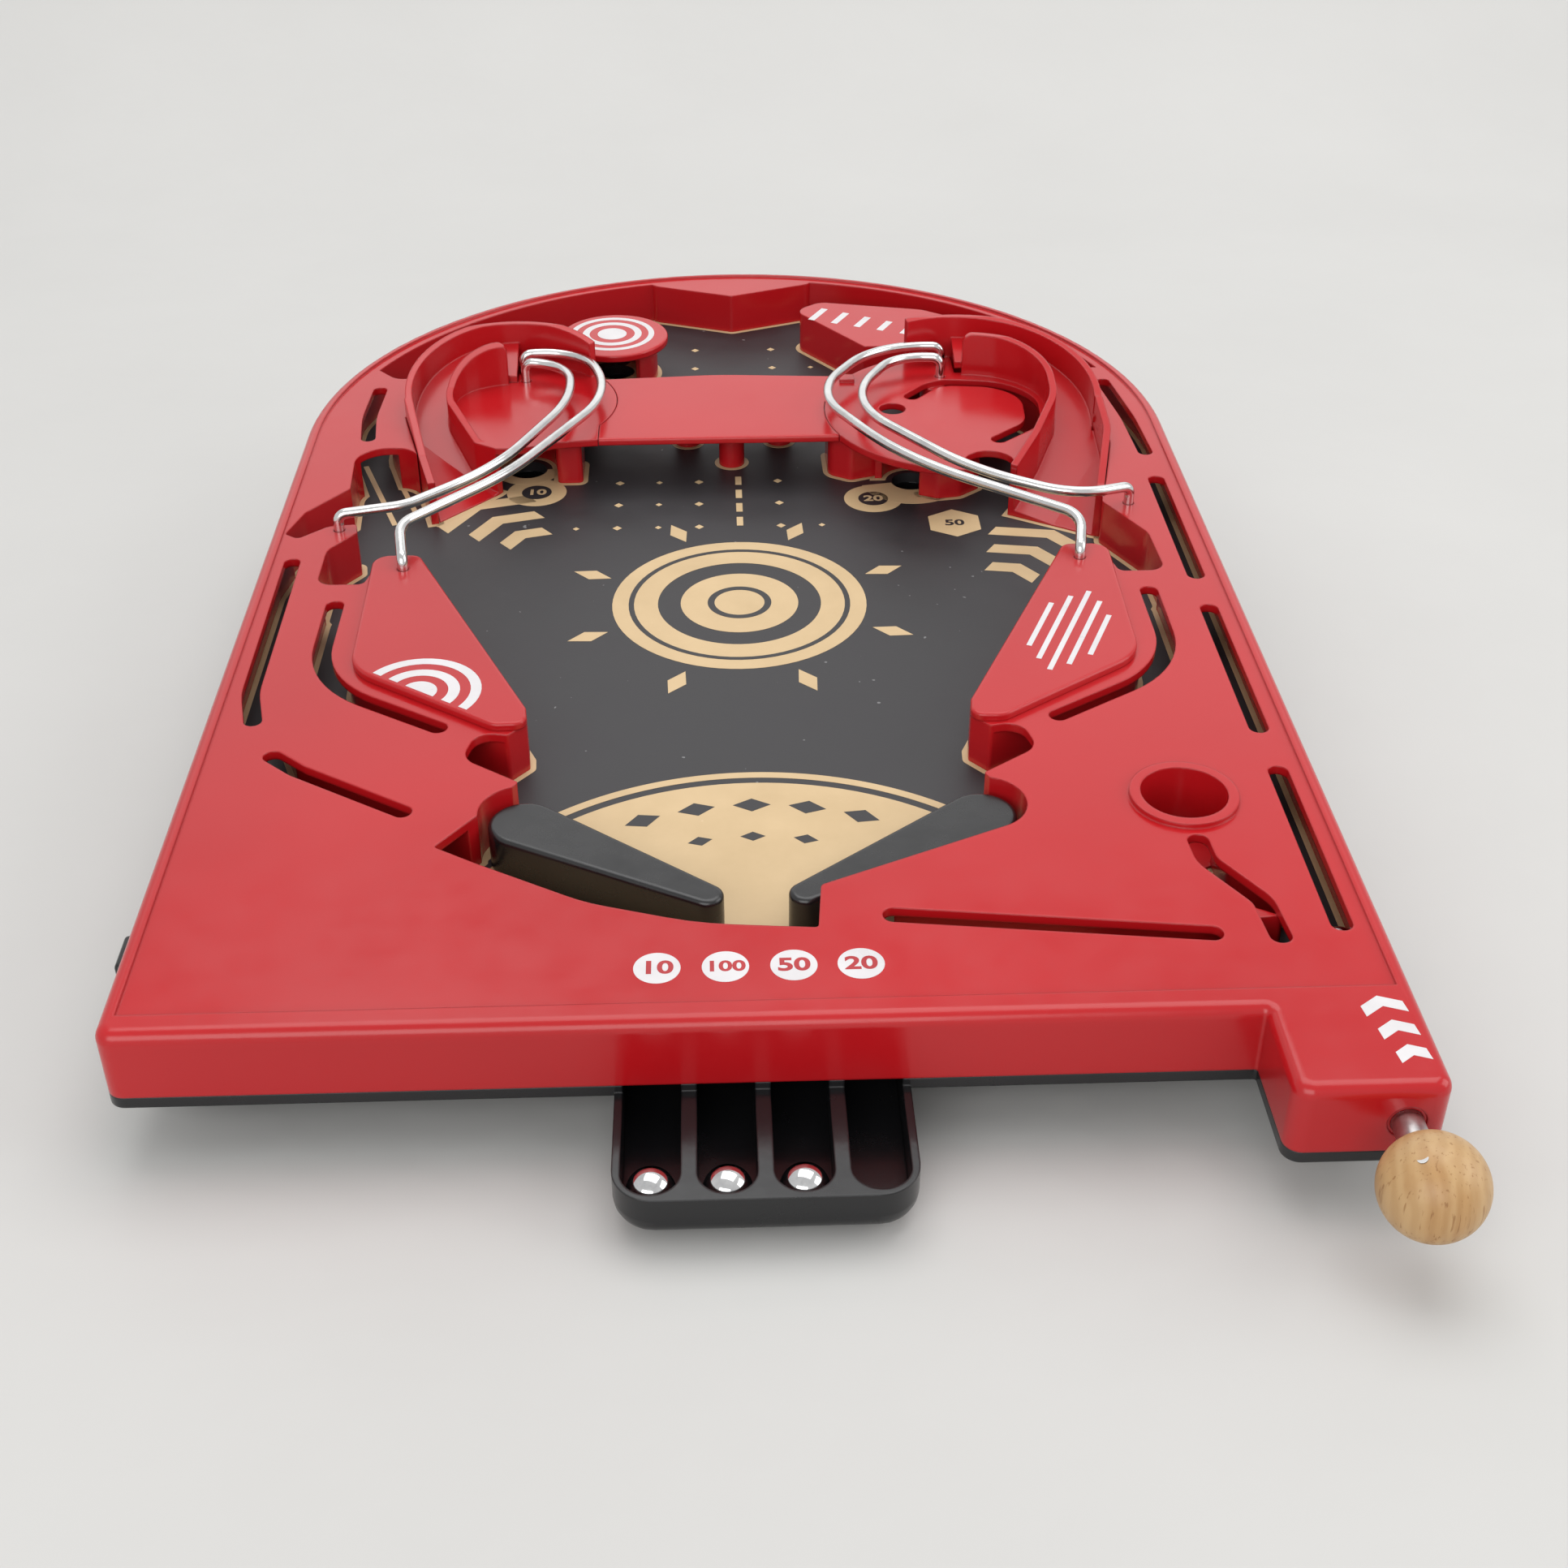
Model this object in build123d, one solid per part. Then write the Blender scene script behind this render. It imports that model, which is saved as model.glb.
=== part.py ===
from build123d import *
import math
import os

# The game is drawn in its own deck frame: X to the right, Y to the back, Z out of the top plate,
# with zero at the middle of the front edge. At the end every piece is leaned back onto its feet.

# Body
body_width = 250.0
straight_length = 262.0
measured_length = 262.0
fixed_front = 100.0
fixed_rear = 220.0
arch_rise = 122.5
plate_thickness = 2.2
side_wall = 2.2
skirt_depth = 15.0
band_depth = 2.5
rim_width = 3.3
rim_height = 0.6
rim_start = 6.0
front_radius = 2.6
corner_radius = 3.5
lean_angle = 4.75

# Board
board_top = -12.8
board_thickness = 3.0
board_gap = 0.3
guide_wall = 2.0

# Balls and the lanes they run in
ball_diameter = 9.5
lane_width = 11.2
slot_width = 4.6
board_hole_diameter = 11.0
ball_seat = 0.03

# Plunger housing and plunger
block_width = 29.5
block_depth = 22.5
rod_offset = 8.0
rod_level = -8.0
rod_diameter = 6.0
rod_clearance = 0.06
launch_ball_y = 27.0
tip_length = 8.0
tip_diameter = 6.8
collar_y = 9.0
collar_length = 2.4
collar_diameter = 8.8
knob_diameter = 20.0
knob_y = -38.5
knob_pin_diameter = 2.0
bush_flange = 9.0
bush_length = 5.0
stop_plate = 1.6

# Flippers
pivot_x = 49.5
pivot_y = 70.0
flipper_length = 47.2
flipper_hub = 7.8
flipper_end = 3.5
flipper_rest = 33.6
flipper_swing = 50.0
flipper_top = -2.8
flipper_float = 0.4
flipper_round = 1.2
pocket_gap = 2.0
hub_radius = 4.0
shaft_radius = 2.0
running_gap = 0.06
crank_radius = 7.0
crank_pin = 1.5
lever_top = -16.3
lever_thickness = 2.6

# Side buttons and their push bars
button_y = 48.5
button_width = 11.0
button_height = 6.0
button_top = -18.2
button_reach = 134.0
bar_thickness = 3.0
bar_top = -19.4
bar_width = 8.0
part_gap = 0.4

# Base
floor_top = -25.8
floor_thickness = 1.5
tub_side = 5.0
tub_front = 16.0
tub_wall = 1.7
rib_thickness = 1.5
tray_depth = 28.5
tray_wall = 1.6
tray_pitch = 14.2
tray_rim = -16.8
tray_round = 5.0

# Upper deck and ramps
deck_top = 2.0
deck_thickness = 2.0
ramp_wall = 2.0
ramp_high = 15.0
ramp_exit = 8.4
ramp_floor = 2.0
ramp_lip = 0.4
end_round = 3.0
post_diameter = 7.5
wire_diameter = 2.8
rail_level = 8.0
rail_bend = 2.5
rail_seat = 0.2
rail_foot = -4.0
insert_gap = 0.15

# Feet and legs
front_foot_y = 26.0
front_foot_x = 92.0
front_foot_drop = 4.0
rear_foot_measured = 330.0
rear_foot_x = 62.0
foot_radius = 7.0
foot_height = 3.0

# Screws
screw_radius = 1.5
screw_head = 2.8
screw_head_height = 1.8

leg_bolt = 9.0
leg_flange = 3.0
leg_neck = 5.5
foot_recess = 1.0
screw_seat = -21.0
screw_top = -5.0
leg_screw_top = -20.0
cap_round = 0.8
bush_neck = 3.7
bush_rim = 1.5

# Springs
spring_y = 59.5
spring_level = -21.0
spring_peg = 1.5
spring_gap = 0.3
post_x = 95.0
button_bore = 1.9
button_coil = 2.7
plunger_bore = 3.35
plunger_coil = 4.2
bar_start = 117.8
guide_places = (106.0, 84.0)
bridge_left = 40.2
bridge_right = 29.4
shaft_bottom = -25.2
boss_top = -23.6

# Knob pin
pin_turn = 24.5
pin_length = 9.8
rod_front = -44.0

half_width = body_width / 2


def stretched(y):
    # Lengthwise places were measured with the measured length. A longer case stretches
    # between the flippers and the ramps, and what is behind moves along whole.
    share = (y - fixed_front) / (fixed_rear - fixed_front)
    return y + (straight_length - measured_length) * min(max(share, 0), 1)


def placed(x, y):
    return (x, stretched(y))


apex_y = straight_length + arch_rise
plate_under = -plate_thickness
board_under = board_top - board_thickness
band_under = -skirt_depth - band_depth
tub_under = floor_top - floor_thickness
ball_radius = ball_diameter / 2
ball_level = board_top + ball_radius + ball_seat
rod_x = half_width - rod_offset
rod_radius = rod_diameter / 2
tip_front_y = launch_ball_y - ball_radius - 0.3
block_left = half_width - block_width
lane_x = half_width - side_wall - lane_width / 2
wire_radius = wire_diameter / 2
bar_under = bar_top - bar_thickness
hole_ten = placed(-61.9, 262.0)
hole_hundred = placed(-37.9, 332.6)
hole_fifty = placed(68.0, 274.0)
hole_twenty = placed(50.3, 250.5)
cup_x = 93.5
cup_y = 70.3
cup_radius = 9.5
cup_ring = 11.9
cup_ring_height = 1.2
pin_y = knob_y - 1.8
rear_foot_y = stretched(rear_foot_measured)
left_rail_seats = [placed(-63.4, 292.6), placed(-64.4, 298.6)]
right_rail_seats = [placed(62.4, 291.4), placed(63.2, 300.4)]
fin_holes = [placed(-107.2, 201.4), placed(105.9, 209.4)]
cap_hole = placed(87.1, 175.5)


def prism(face, low, high):
    return extrude(Pos(0, 0, low) * face, high - low, dir=(0, 0, 1))


def disc(x, y, radius, low, high):
    return Pos(x, y, (low + high) / 2) * Cylinder(radius, high - low)


def block(low, high):
    size = [b - a for a, b in zip(low, high)]
    middle = [(a + b) / 2 for a, b in zip(low, high)]
    return Pos(*middle) * Box(*size)


def rounded_edges(corners, closed):
    # Straight runs joined by tangent arcs; each corner is x, y, for a bent wire z, and its radius.
    count = len(corners)
    starts = []
    ends = []
    arcs = []
    for index, (*place, radius) in enumerate(corners):
        here = Vector(*place)
        open_end = not closed and index in (0, count - 1)
        if radius <= 0 or open_end:
            starts.append(here)
            ends.append(here)
            arcs.append(None)
            continue
        arm_in = (Vector(*corners[index - 1][:-1]) - here).normalized()
        arm_out = (Vector(*corners[(index + 1) % count][:-1]) - here).normalized()
        half = math.radians(arm_in.get_angle(arm_out)) / 2
        reach = radius / math.tan(half)
        middle = here + (arm_in + arm_out).normalized() * (radius / math.sin(half) - radius)
        starts.append(here + arm_in * reach)
        ends.append(here + arm_out * reach)
        arcs.append(ThreePointArc(starts[-1], middle, ends[-1]))
    edges = []
    for index in range(count):
        if arcs[index] is not None:
            edges.append(arcs[index])
        last = index == count - 1
        if last and not closed:
            break
        following = (index + 1) % count
        if (starts[following] - ends[index]).length > 1e-4:
            edges.append(Line(ends[index], starts[following]))
    return edges


def along(corners):
    return [(x, stretched(y), *rest) for x, y, *rest in corners]


def outline(corners):
    return make_face(rounded_edges(along(corners), True))


def lane(corners, width):
    corners = along(corners)
    path = Wire([edge.edge() for edge in rounded_edges(corners, False)])
    ends = [corners[0], corners[-1]]
    return trace(path, width) + [Pos(x, y) * Circle(width / 2) for x, y, radius in ends]


def joined(first, rest):
    for item in rest:
        first = first + item
    return first


def flipped(corners):
    return [(-x, y, radius) for x, y, radius in corners]


def arch(inset):
    side = half_width - inset
    low = rim_start
    straight = Pos(0, (low + straight_length) / 2) * Rectangle(2 * side, straight_length - low)
    return straight + Pos(0, straight_length) * Ellipse(side, arch_rise - inset)


def body_outline(inset, front_inset):
    side = half_width - inset
    left = block_left + inset
    front = outline([
        (-side, front_inset, max(corner_radius - inset, 0.5)),
        (left, front_inset, 0.6),
        (left, -block_depth + front_inset, max(corner_radius - inset, 0.5)),
        (side, -block_depth + front_inset, max(corner_radius - inset, 0.5)),
        (side, 40, 0),
        (-side, 40, 0),
    ])
    return front + arch(inset)


# Routes of the lanes between the top plate and the board
inlane = [(102.6, 172, 0), (102.6, 124.5, 30), (58.5, 95.3, 0)]
outlane = [(-114.0, 201, 0), (-116.6, 186, 6), (-116.4, 118, 12), (-108, 95, 8), (-75.3, 71, 8), (-62, 60, 0)]
arch_lane = [(-103.5, 306, 0), (-108.2, 290, 20), (-108.2, 268, 30), (-101, 243, 0)]
cup_lane = [(cup_x, cup_y, 0), (cup_x, 45, 10), (lane_x, launch_ball_y + 4, 0)]
drain_lane = [(20, 32.5, 0), (27.5, 31.6, 0), (90, 23.8, 20), (105, 25.5, 0)]


def field():
    # The large opening over the board, from the front cut to the foot of the ramps
    right = [
        (54, 61.3, 0.8), (58.5, 68, 0), (51.3, 81.2, 0.6), (64.6, 91, 5.5), (62, 101.5, 4.5),
        (55, 100, 0.8), (51, 104.8, 1.2), (51.2, 108.3, 1.5), (81.7, 178.8, 3), (84, 183.2, 2.5),
        (94.3, 182.8, 3), (97.0, 171.4, 2), (108.9, 171.4, 4), (108.2, 192, 8), (99, 210.5, 3),
        (101.3, 224, 0),
    ]
    left = [
        (-86.0, 226, 0), (-107.6, 226, 0), (-117.8, 211.9, 6), (-121.3, 199.5, 1.2), (-117.6, 196.7, 1.6),
        (-110.5, 203.4, 4), (-103, 204.4, 1.2), (-102.3, 199.6, 1.2), (-108.9, 190, 8),
        (-108.9, 171.4, 4), (-97, 171.4, 2), (-94.3, 182.8, 3), (-84, 183.2, 2.5), (-81.7, 178.8, 3),
        (-51.2, 108.3, 1.5), (-51, 104.8, 1.2), (-55, 100, 0.8), (-62, 101.5, 4.5), (-64.6, 91, 5.5),
        (-51.3, 81.2, 0.6), (-58.5, 70, 0), (-67.4, 57.9, 0.8), (-58, 51.8, 1),
    ]
    front = [(-34.9, 37.9, 40), (-12, 30.4, 60), (12, 28.2, 0.8), (13.2, 42, 1.5)]
    shape = outline(front + right + left)
    pocket = flipper_hub + pocket_gap
    for side in (-1, 1):
        shape += Pos(side * pivot_x, pivot_y) * Circle(pocket)
    return shape


left_centre = placed(-66.5, 276.5)
left_outer = 29.0
left_inner_centre = placed(-68.4, 274.6)
left_inner = 17.0
right_centre = placed(66.5, 267.5)
right_outer = 38.5
right_inner_centre = placed(69.0, 269.5)
right_inner = 24.5


def hoop(centre, outer, inner):
    return Pos(*centre) * Circle(outer) - Pos(*centre) * Circle(inner)


def left_mouth():
    return outline([(-94.8, 270, 0), (-84.4, 229, 0), (-69.2, 245.7, 0), (-75, 249.5, 3), (-84.6, 269, 0)])


def right_mouth():
    return outline([
        (104.9, 261, 0), (105.2, 248, 20), (97.8, 214.5, 0), (77.6, 227, 0), (86, 243, 8), (93.4, 261, 0),
    ])


def left_channel():
    ring = Pos(*left_centre) * Circle(left_outer) - Pos(*left_inner_centre) * Circle(left_inner)
    keep = Pos(*placed(-96, 292)) * Rectangle(60, 52)
    return (ring & keep) + left_mouth()


def right_channel():
    ring = Pos(*right_centre) * Circle(right_outer) - Pos(*right_inner_centre) * Circle(right_inner)
    keep = Pos(*placed(98, 286)) * Rectangle(62, 52)
    return (ring & keep) + right_mouth()


def upper_opening():
    # Behind the decks the opening follows the arch; the shoulders beside the ramps stay closed.
    crescent = arch(6.2) & Pos(*placed(0, 310)) * Rectangle(body_width, 180)
    left_shoulder = Pos(*placed(-71, 274)) * Circle(38) + outline([
        (-126, 215, 0), (-60, 215, 0), (-60, 300, 0), (-104, 300, 5), (-114, 312, 0), (-126, 312, 0),
    ])
    right_shoulder = Pos(*placed(67, 268)) * Circle(44)
    right_shoulder += outline([(60, 215, 0), (126, 215, 0), (126, 301, 0), (60, 301, 0)])
    notch = outline([(-27, 380, 0), (-27, 374.5, 4), (0, 364, 2), (27, 374.5, 4), (27, 380, 0)])
    middle = outline([(-60, 215, 0), (60, 215, 0), (60, 320, 0), (-60, 320, 0)])
    entry = outline([(-88, 222, 0), (-58, 222, 0), (-58, 250, 0), (-72, 250, 0), (-88, 230, 0)])
    island = outline([
        (20.5, 350.5, 5), (44, 316, 3), (50, 300, 0), (90, 300, 0), (90, 330, 0), (62, 350, 10),
        (29, 357.5, 5),
    ])
    return crescent - left_shoulder - right_shoulder - notch - island + middle + entry


def mouth_opening():
    return outline([(-107.6, 225, 0), (-109.3, 251.3, 9), (-92.5, 251.3, 8), (-86.0, 225, 0)])


def left_footprint():
    wall_circle = Pos(*left_centre) * Circle(left_outer + ramp_wall + insert_gap)
    mouth = outline([
        (-97.8, 272, 0), (-86.9, 227.6, 0), (-84.3, 228.0, 0), (-69.1, 244, 0), (-45.5, 249.8, 0),
        (-45.5, 290, 0),
    ])
    return wall_circle + mouth


def right_footprint():
    wall_circle = Pos(*right_centre) * Circle(right_outer + ramp_wall + insert_gap)
    mouth = outline([(107.2, 264, 0), (107.5, 248, 20), (100.0, 213.6, 0), (60, 215, 0), (60, 264, 0)])
    return wall_circle + mouth


def open_plan():
    # All of the space that a ball can reach through the large opening, seen from above
    return field() + upper_opening() + mouth_opening() + left_footprint() + right_footprint()


def drain():
    return outline([
        (-64, 60, 1), (-62, 47.5, 3), (-36, 31.5, 30), (-12, 24.8, 30), (26, 23.5, 0),
        (28, 37.5, 0), (56, 52, 3), (60, 64, 3), (50, 75, 0), (-50, 75, 0),
    ])


def launch_lane(extra):
    # Along the right wall and round into the arch; its outer side runs out past the wall
    inner = side_wall + lane_width + extra
    ring = arch(-1) - arch(inner)
    low = -block_depth + side_wall
    left = half_width - inner
    foot = Pos((left + half_width + 1) / 2, low / 2 + 7) * Rectangle(half_width + 1 - left, 14 - low)
    length = stretched(320)
    return (ring & Pos(100, length / 2) * Rectangle(70, length)) + foot


def covered_lanes(extra):
    width = lane_width + 2 * extra
    routes = [inlane, flipped(inlane), outlane, arch_lane, cup_lane, drain_lane]
    plan = joined(lane(routes[0], width), [lane(route, width) for route in routes[1:]])
    return plan + launch_lane(extra)


slots = [
    ([(-116.9, 183.5, 0), (-116.5, 120, 30), (-113.8, 108, 0)], 4.2),
    ([(-106.8, 93.2, 0), (-100.5, 87.4, 6), (-75.5, 71, 0)], 4.4),
    ([(-106.9, 258, 0), (-108.4, 272, 60), (-107.6, 291.5, 0)], 4.2),
    ([(116.3, 241, 0), (115.4, 264, 80), (112.3, 290, 0)], 4.2),
    ([(116.2, 168.8, 0), (116.2, 223, 0)], slot_width),
    ([(116.0, 97, 0), (116.0, 151, 0)], slot_width),
    ([(116.3, 25.6, 0), (116.3, 79, 0)], slot_width),
    ([(93.4, 54.2, 0), (93.8, 47.5, 8), (102.4, 33.5, 8), (103.3, 22.2, 0)], slot_width),
    ([(27.3, 31.6, 0), (89.9, 23.5, 0)], slot_width),
    ([(102.6, 160.6, 0), (102.6, 124.5, 30), (71.2, 103.8, 0)], slot_width),
    ([(-102.6, 160.6, 0), (-102.6, 124.5, 30), (-71.2, 103.8, 0)], slot_width),
]

front_screws = [(-112, 9), (-45, 9), (45, 9), (87, 9)]
cover_screws = [
    (-80, 90), (80, 90), placed(-80, 150), placed(80, 150), (78, 37), (-108, 26), placed(9, 374.5),
]
insert_screws = [placed(-72, 286), placed(60, 290), placed(-1.7, 264.6)]
boss_radius = 3.5


def grown_plan(amount):
    parts = [upper_opening(), mouth_opening(), left_footprint(), right_footprint(), drain()]
    plan = joined(offset(field(), amount), [offset(part, amount) for part in parts])
    return plan + covered_lanes(amount) + Pos(cup_x, cup_y) * Circle(cup_radius + amount)


def outer_edges(shell):
    # The top edges along the front, round its corners and round the plunger housing
    top = shell.faces().sort_by(Axis.Z)[-1].edges()
    return [e for e in top if e.center().Y < corner_radius]


def top_cover():
    shell = prism(body_outline(0, 0), -skirt_depth, rim_height)
    shell = fillet(outer_edges(shell), front_radius)
    shell -= prism(arch(rim_width), 0, rim_height + 1)
    shell -= prism(body_outline(side_wall, side_wall), -skirt_depth, plate_under)
    plan_open = open_plan()
    free = plan_open + drain() + covered_lanes(0) + Pos(cup_x, cup_y) * Circle(cup_radius)
    inner = body_outline(side_wall - 0.2, side_wall - 0.2)
    rear_fill = Pos(*placed(0, 374.5)) * Rectangle(body_width, 150) & inner
    walls = (grown_plan(guide_wall) & inner) + rear_fill - free
    for x, y in front_screws + cover_screws:
        walls += Pos(x, y) * Circle(boss_radius)
    for x, y in front_screws + cover_screws:
        walls -= Pos(x, y) * Circle(screw_radius)
    shell += prism(walls, board_top, plate_under)
    shell += disc(cup_x, cup_y, cup_ring, plate_under, cup_ring_height)
    shell -= disc(cup_x, cup_y, cup_radius, plate_under, cup_ring_height)
    shell += disc(cup_x, cup_y, cup_radius + 1, board_top, board_top + 0.6)
    shell -= prism(plan_open, plate_under, 1)
    for route, width in slots:
        shell -= prism(lane(route, width), plate_under, 1)
    stop_y = collar_y + collar_length + part_gap
    stop_left = half_width - side_wall - lane_width - 0.5
    shell += block((stop_left, stop_y, board_top), (half_width - 1, stop_y + stop_plate, plate_under))
    shell -= along_y(tip_diameter / 2 + part_gap, stop_y - 1, stop_y + stop_plate + 1)
    rod_hole = Pos(rod_x, -block_depth + side_wall / 2, rod_level) * Rot(90, 0, 0)
    shell -= rod_hole * Cylinder(bush_neck, side_wall * 3)
    for x, y in fin_holes + [cap_hole, (-cap_hole[0], cap_hole[1])]:
        shell -= disc(x, y, wire_radius + 0.1, -6, 1)
    return shell


def cap_plan():
    return outline([
        (95.6, 183.3, 4.5), (94.4, 127.5, 14), (58.5, 101.6, 5), (50.6, 101.8, 3), (51.3, 108.8, 2),
        (83.8, 183.3, 3.2),
    ])


def slingshot_cap():
    cap = prism(cap_plan(), 0, deck_top)
    cap = fillet(cap.faces().sort_by(Axis.Z)[-1].edges(), cap_round)
    return cap - disc(*cap_hole, wire_radius + 0.1, -1, deck_top + 1)


def board_plan(inset):
    front_edge = side_wall + inset
    side = half_width - front_edge
    front = outline([(-side, front_edge, 1.5), (side, front_edge, 1.5), (side, 40, 0), (-side, 40, 0)])
    return arch(front_edge) + front


def playfield_board():
    board = prism(board_plan(board_gap), board_under, board_top)
    for x, y in (hole_ten, hole_hundred, hole_fifty, hole_twenty):
        board -= disc(x, y, board_hole_diameter / 2, board_under, board_top)
    for x, y in front_screws + cover_screws + insert_screws:
        board -= disc(x, y, screw_radius + 0.3, board_under, board_top)
    for side in (-1, 1):
        board -= disc(side * pivot_x, pivot_y, hub_radius + running_gap, board_under, board_top)
    return board


def tub_plan(inset):
    side = half_width - tub_side - inset
    front_edge = tub_front + inset
    rise = arch_rise - tub_side - inset
    front = outline([(-side, front_edge, 10), (side, front_edge, 10), (side, 80, 0), (-side, 80, 0)])
    middle = Pos(0, (60 + straight_length) / 2) * Rectangle(2 * side, straight_length - 60)
    return front + middle + Pos(0, straight_length) * Ellipse(side, rise)


def return_channels(extra):
    width = lane_width + 2 * extra
    first, second, third, fourth = [tray_pitch * step for step in (-1.5, -0.5, 0.5, 1.5)]
    routes = [
        [(-61.9, 262, 0), (-61, 200, 60), (-32, 110, 60), (first, 42, 60), (first, 8, 0)],
        [(-37.9, 332.6, 0), (-37.9, 205, 60), (-12, 110, 60), (second, 42, 60), (second, 8, 0)],
        [
            (68, 274, 0), (52, 269, 12), (34, 262, 12), (30, 240, 60), (12, 110, 60), (third, 42, 60),
            (third, 8, 0),
        ],
        [(50.3, 250.5, 0), (50, 200, 60), (28, 110, 60), (fourth, 42, 60), (fourth, 8, 0)],
    ]
    return joined(lane(routes[0], width), [lane(route, width) for route in routes[1:]])


def tray_lane(index):
    x = (index - 1.5) * tray_pitch
    front = -tray_depth + tray_wall + lane_width / 2
    return lane([(x, front, 0), (x, tub_front + 6, 0)], lane_width)


def tray():
    rear = tub_front + 4
    plan = outline([
        (-tray_depth, -tray_depth, 8), (tray_depth, -tray_depth, 8), (tray_depth, rear, 0),
        (-tray_depth, rear, 0),
    ])
    solid = prism(plan, tub_under, tray_rim)
    under = solid.faces().sort_by(Axis.Z)[0].edges().filter_by(lambda e: e.center().Y < tub_front + 3)
    solid = fillet(under, tray_round)
    return solid - block((-50, 0, band_under + 0.5), (50, tub_front + 10, 0))


def upright(x, y, radius, low, high):
    # A plumb round pillar in the table's frame, turned back into the deck frame
    foot = deck_frame.inverse() * Pos(x, y, (low + high) / 2)
    return foot * Cylinder(radius, high - low)


def base_shell():
    shell = prism(body_outline(0, 0), band_under, -skirt_depth) + prism(tub_plan(0), tub_under, band_under)
    shell = shell - prism(board_plan(0), board_under, -skirt_depth)
    shell -= prism(tub_plan(tub_wall), floor_top, -skirt_depth)
    ribs = (return_channels(rib_thickness) - return_channels(0)) & tub_plan(tub_wall)
    shell += prism(ribs, floor_top, board_under)
    for x, y in cover_screws + insert_screws:
        shell += disc(x, y, boss_radius + 0.7, floor_top, board_under)
    for x, y in cover_screws + insert_screws:
        shell -= disc(x, y, screw_radius + 0.2, tub_under - 1, board_under)
        shell -= disc(x, y, screw_head + 0.4, tub_under - 1, screw_seat)
    for x, y in front_screws:
        shell -= disc(x, y, screw_radius + 0.2, band_under - 1, board_under)
    shell += tray()
    for index in range(4):
        shell -= prism(tray_lane(index), floor_top, -skirt_depth)
    for side in (-1, 1):
        shell += disc(side * pivot_x, pivot_y, 5, floor_top, boss_top)
        shell -= disc(side * pivot_x, pivot_y, shaft_radius + running_gap, shaft_bottom - 0.2, boss_top)
        window = part_gap
        wall_middle = side * (half_width - tub_side - tub_wall / 2)
        shell -= block(
            (wall_middle - 3, button_y - button_width / 2 - window, button_top - button_height - window),
            (wall_middle + 3, button_y + button_width / 2 + window, button_top + window),
        )
        for x in guide_places:
            x *= side
            shell += block((x - 1, button_y - 6, floor_top), (x + 1, button_y + 6, bar_under - 0.3))
        x = side * post_x
        shell += block((x - 1.2, spring_y - 3.5, floor_top), (x + 1.2, spring_y + 3.5, spring_level + 3))
        peg = Pos(side * (post_x + 2.2), spring_y, spring_level) * Rot(0, 90, 0)
        shell += peg * Cylinder(spring_peg, 2.2)
        foot_x = side * front_foot_x
        stub_low = foot_height - foot_recess
        shell += upright(foot_x, front_foot[1], foot_radius + 1.4, stub_low, front_foot[2] + 0.7)
        shell -= upright(foot_x, front_foot[1], foot_radius, 0, foot_height)
        for offset_x in (-leg_bolt, leg_bolt):
            x = side * rear_foot_x + offset_x
            shell += disc(x, rear_foot_y, boss_radius + 0.2, floor_top, leg_screw_top + 1)
            shell -= disc(x, rear_foot_y, screw_radius, tub_under - 1, leg_screw_top)
    return shell


def slope(y, z, rise, run, thickness):
    angle = math.degrees(math.atan2(rise, run))
    return Pos(0, stretched(y), z) * Rot(angle, 0, 0) * Pos(0, 0, -thickness / 2) * Box(300, 400, thickness)


def mouth_floor(mouth, start, end, grade):
    # The first stretch of a ramp's floor, which rises at right angles to the mouth's front edge
    low = Vector(*placed(*start))
    high = Vector(*placed(*end))
    turn = math.degrees(math.atan2(high.Y - low.Y, high.X - low.X))
    tilt_up = math.degrees(math.atan(grade))
    slab = Pos(0, 0, -ramp_floor / 2) * Box(300, 400, ramp_floor)
    slab = Pos(low.X, low.Y, board_top + ramp_lip) * Rot(0, 0, turn) * Rot(tilt_up, 0, 0) * slab
    return prism(mouth, board_top, 0) & slab


def top_corner(x, y, side):
    # What a rounded corner takes off a wall that ends at x, at its left or right end
    reach = (end_round - 1) / 2
    square = Pos(x - side * reach, y, ramp_high - reach) * Box(end_round + 1, 8, end_round + 1)
    centre = Pos(x - side * end_round, y, ramp_high - end_round)
    return square - centre * Rot(90, 0, 0) * Cylinder(end_round, 8)


def ramp_pieces(channel, outer_wall, inner_wall, deck, marks):
    # Floor, side walls and deck plate; marks are the y positions where the slopes start and end
    floor_y, outer_y, inner_y, exit_y = marks
    rise = ramp_exit - board_top
    floor = prism(channel, board_top, ramp_high)
    floor = floor & slope(floor_y, board_top, rise, exit_y - floor_y, ramp_floor)
    floor_start = stretched(floor_y)
    floor -= block((-130, floor_start - 30, board_top - 5), (130, floor_start + 1.2, ramp_high))
    tall = prism(outer_wall, 0, ramp_high) & slope(outer_y, 0, ramp_high, exit_y - outer_y, 80)
    short_run = exit_y - 13 - inner_y
    gentle = slope(inner_y - 18, deck_top, 4.7, 24.6, 80)
    steep = slope(inner_y, deck_top, ramp_high - deck_top, short_run, 80)
    low = prism(inner_wall, 0, ramp_high) & (steep + gentle)
    solid = prism(deck, deck_top - deck_thickness, deck_top) + floor
    solid += prism(outer_wall, board_top, 0)
    solid += tall
    solid += prism(inner_wall, board_top, deck_top)
    return solid + low


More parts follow.
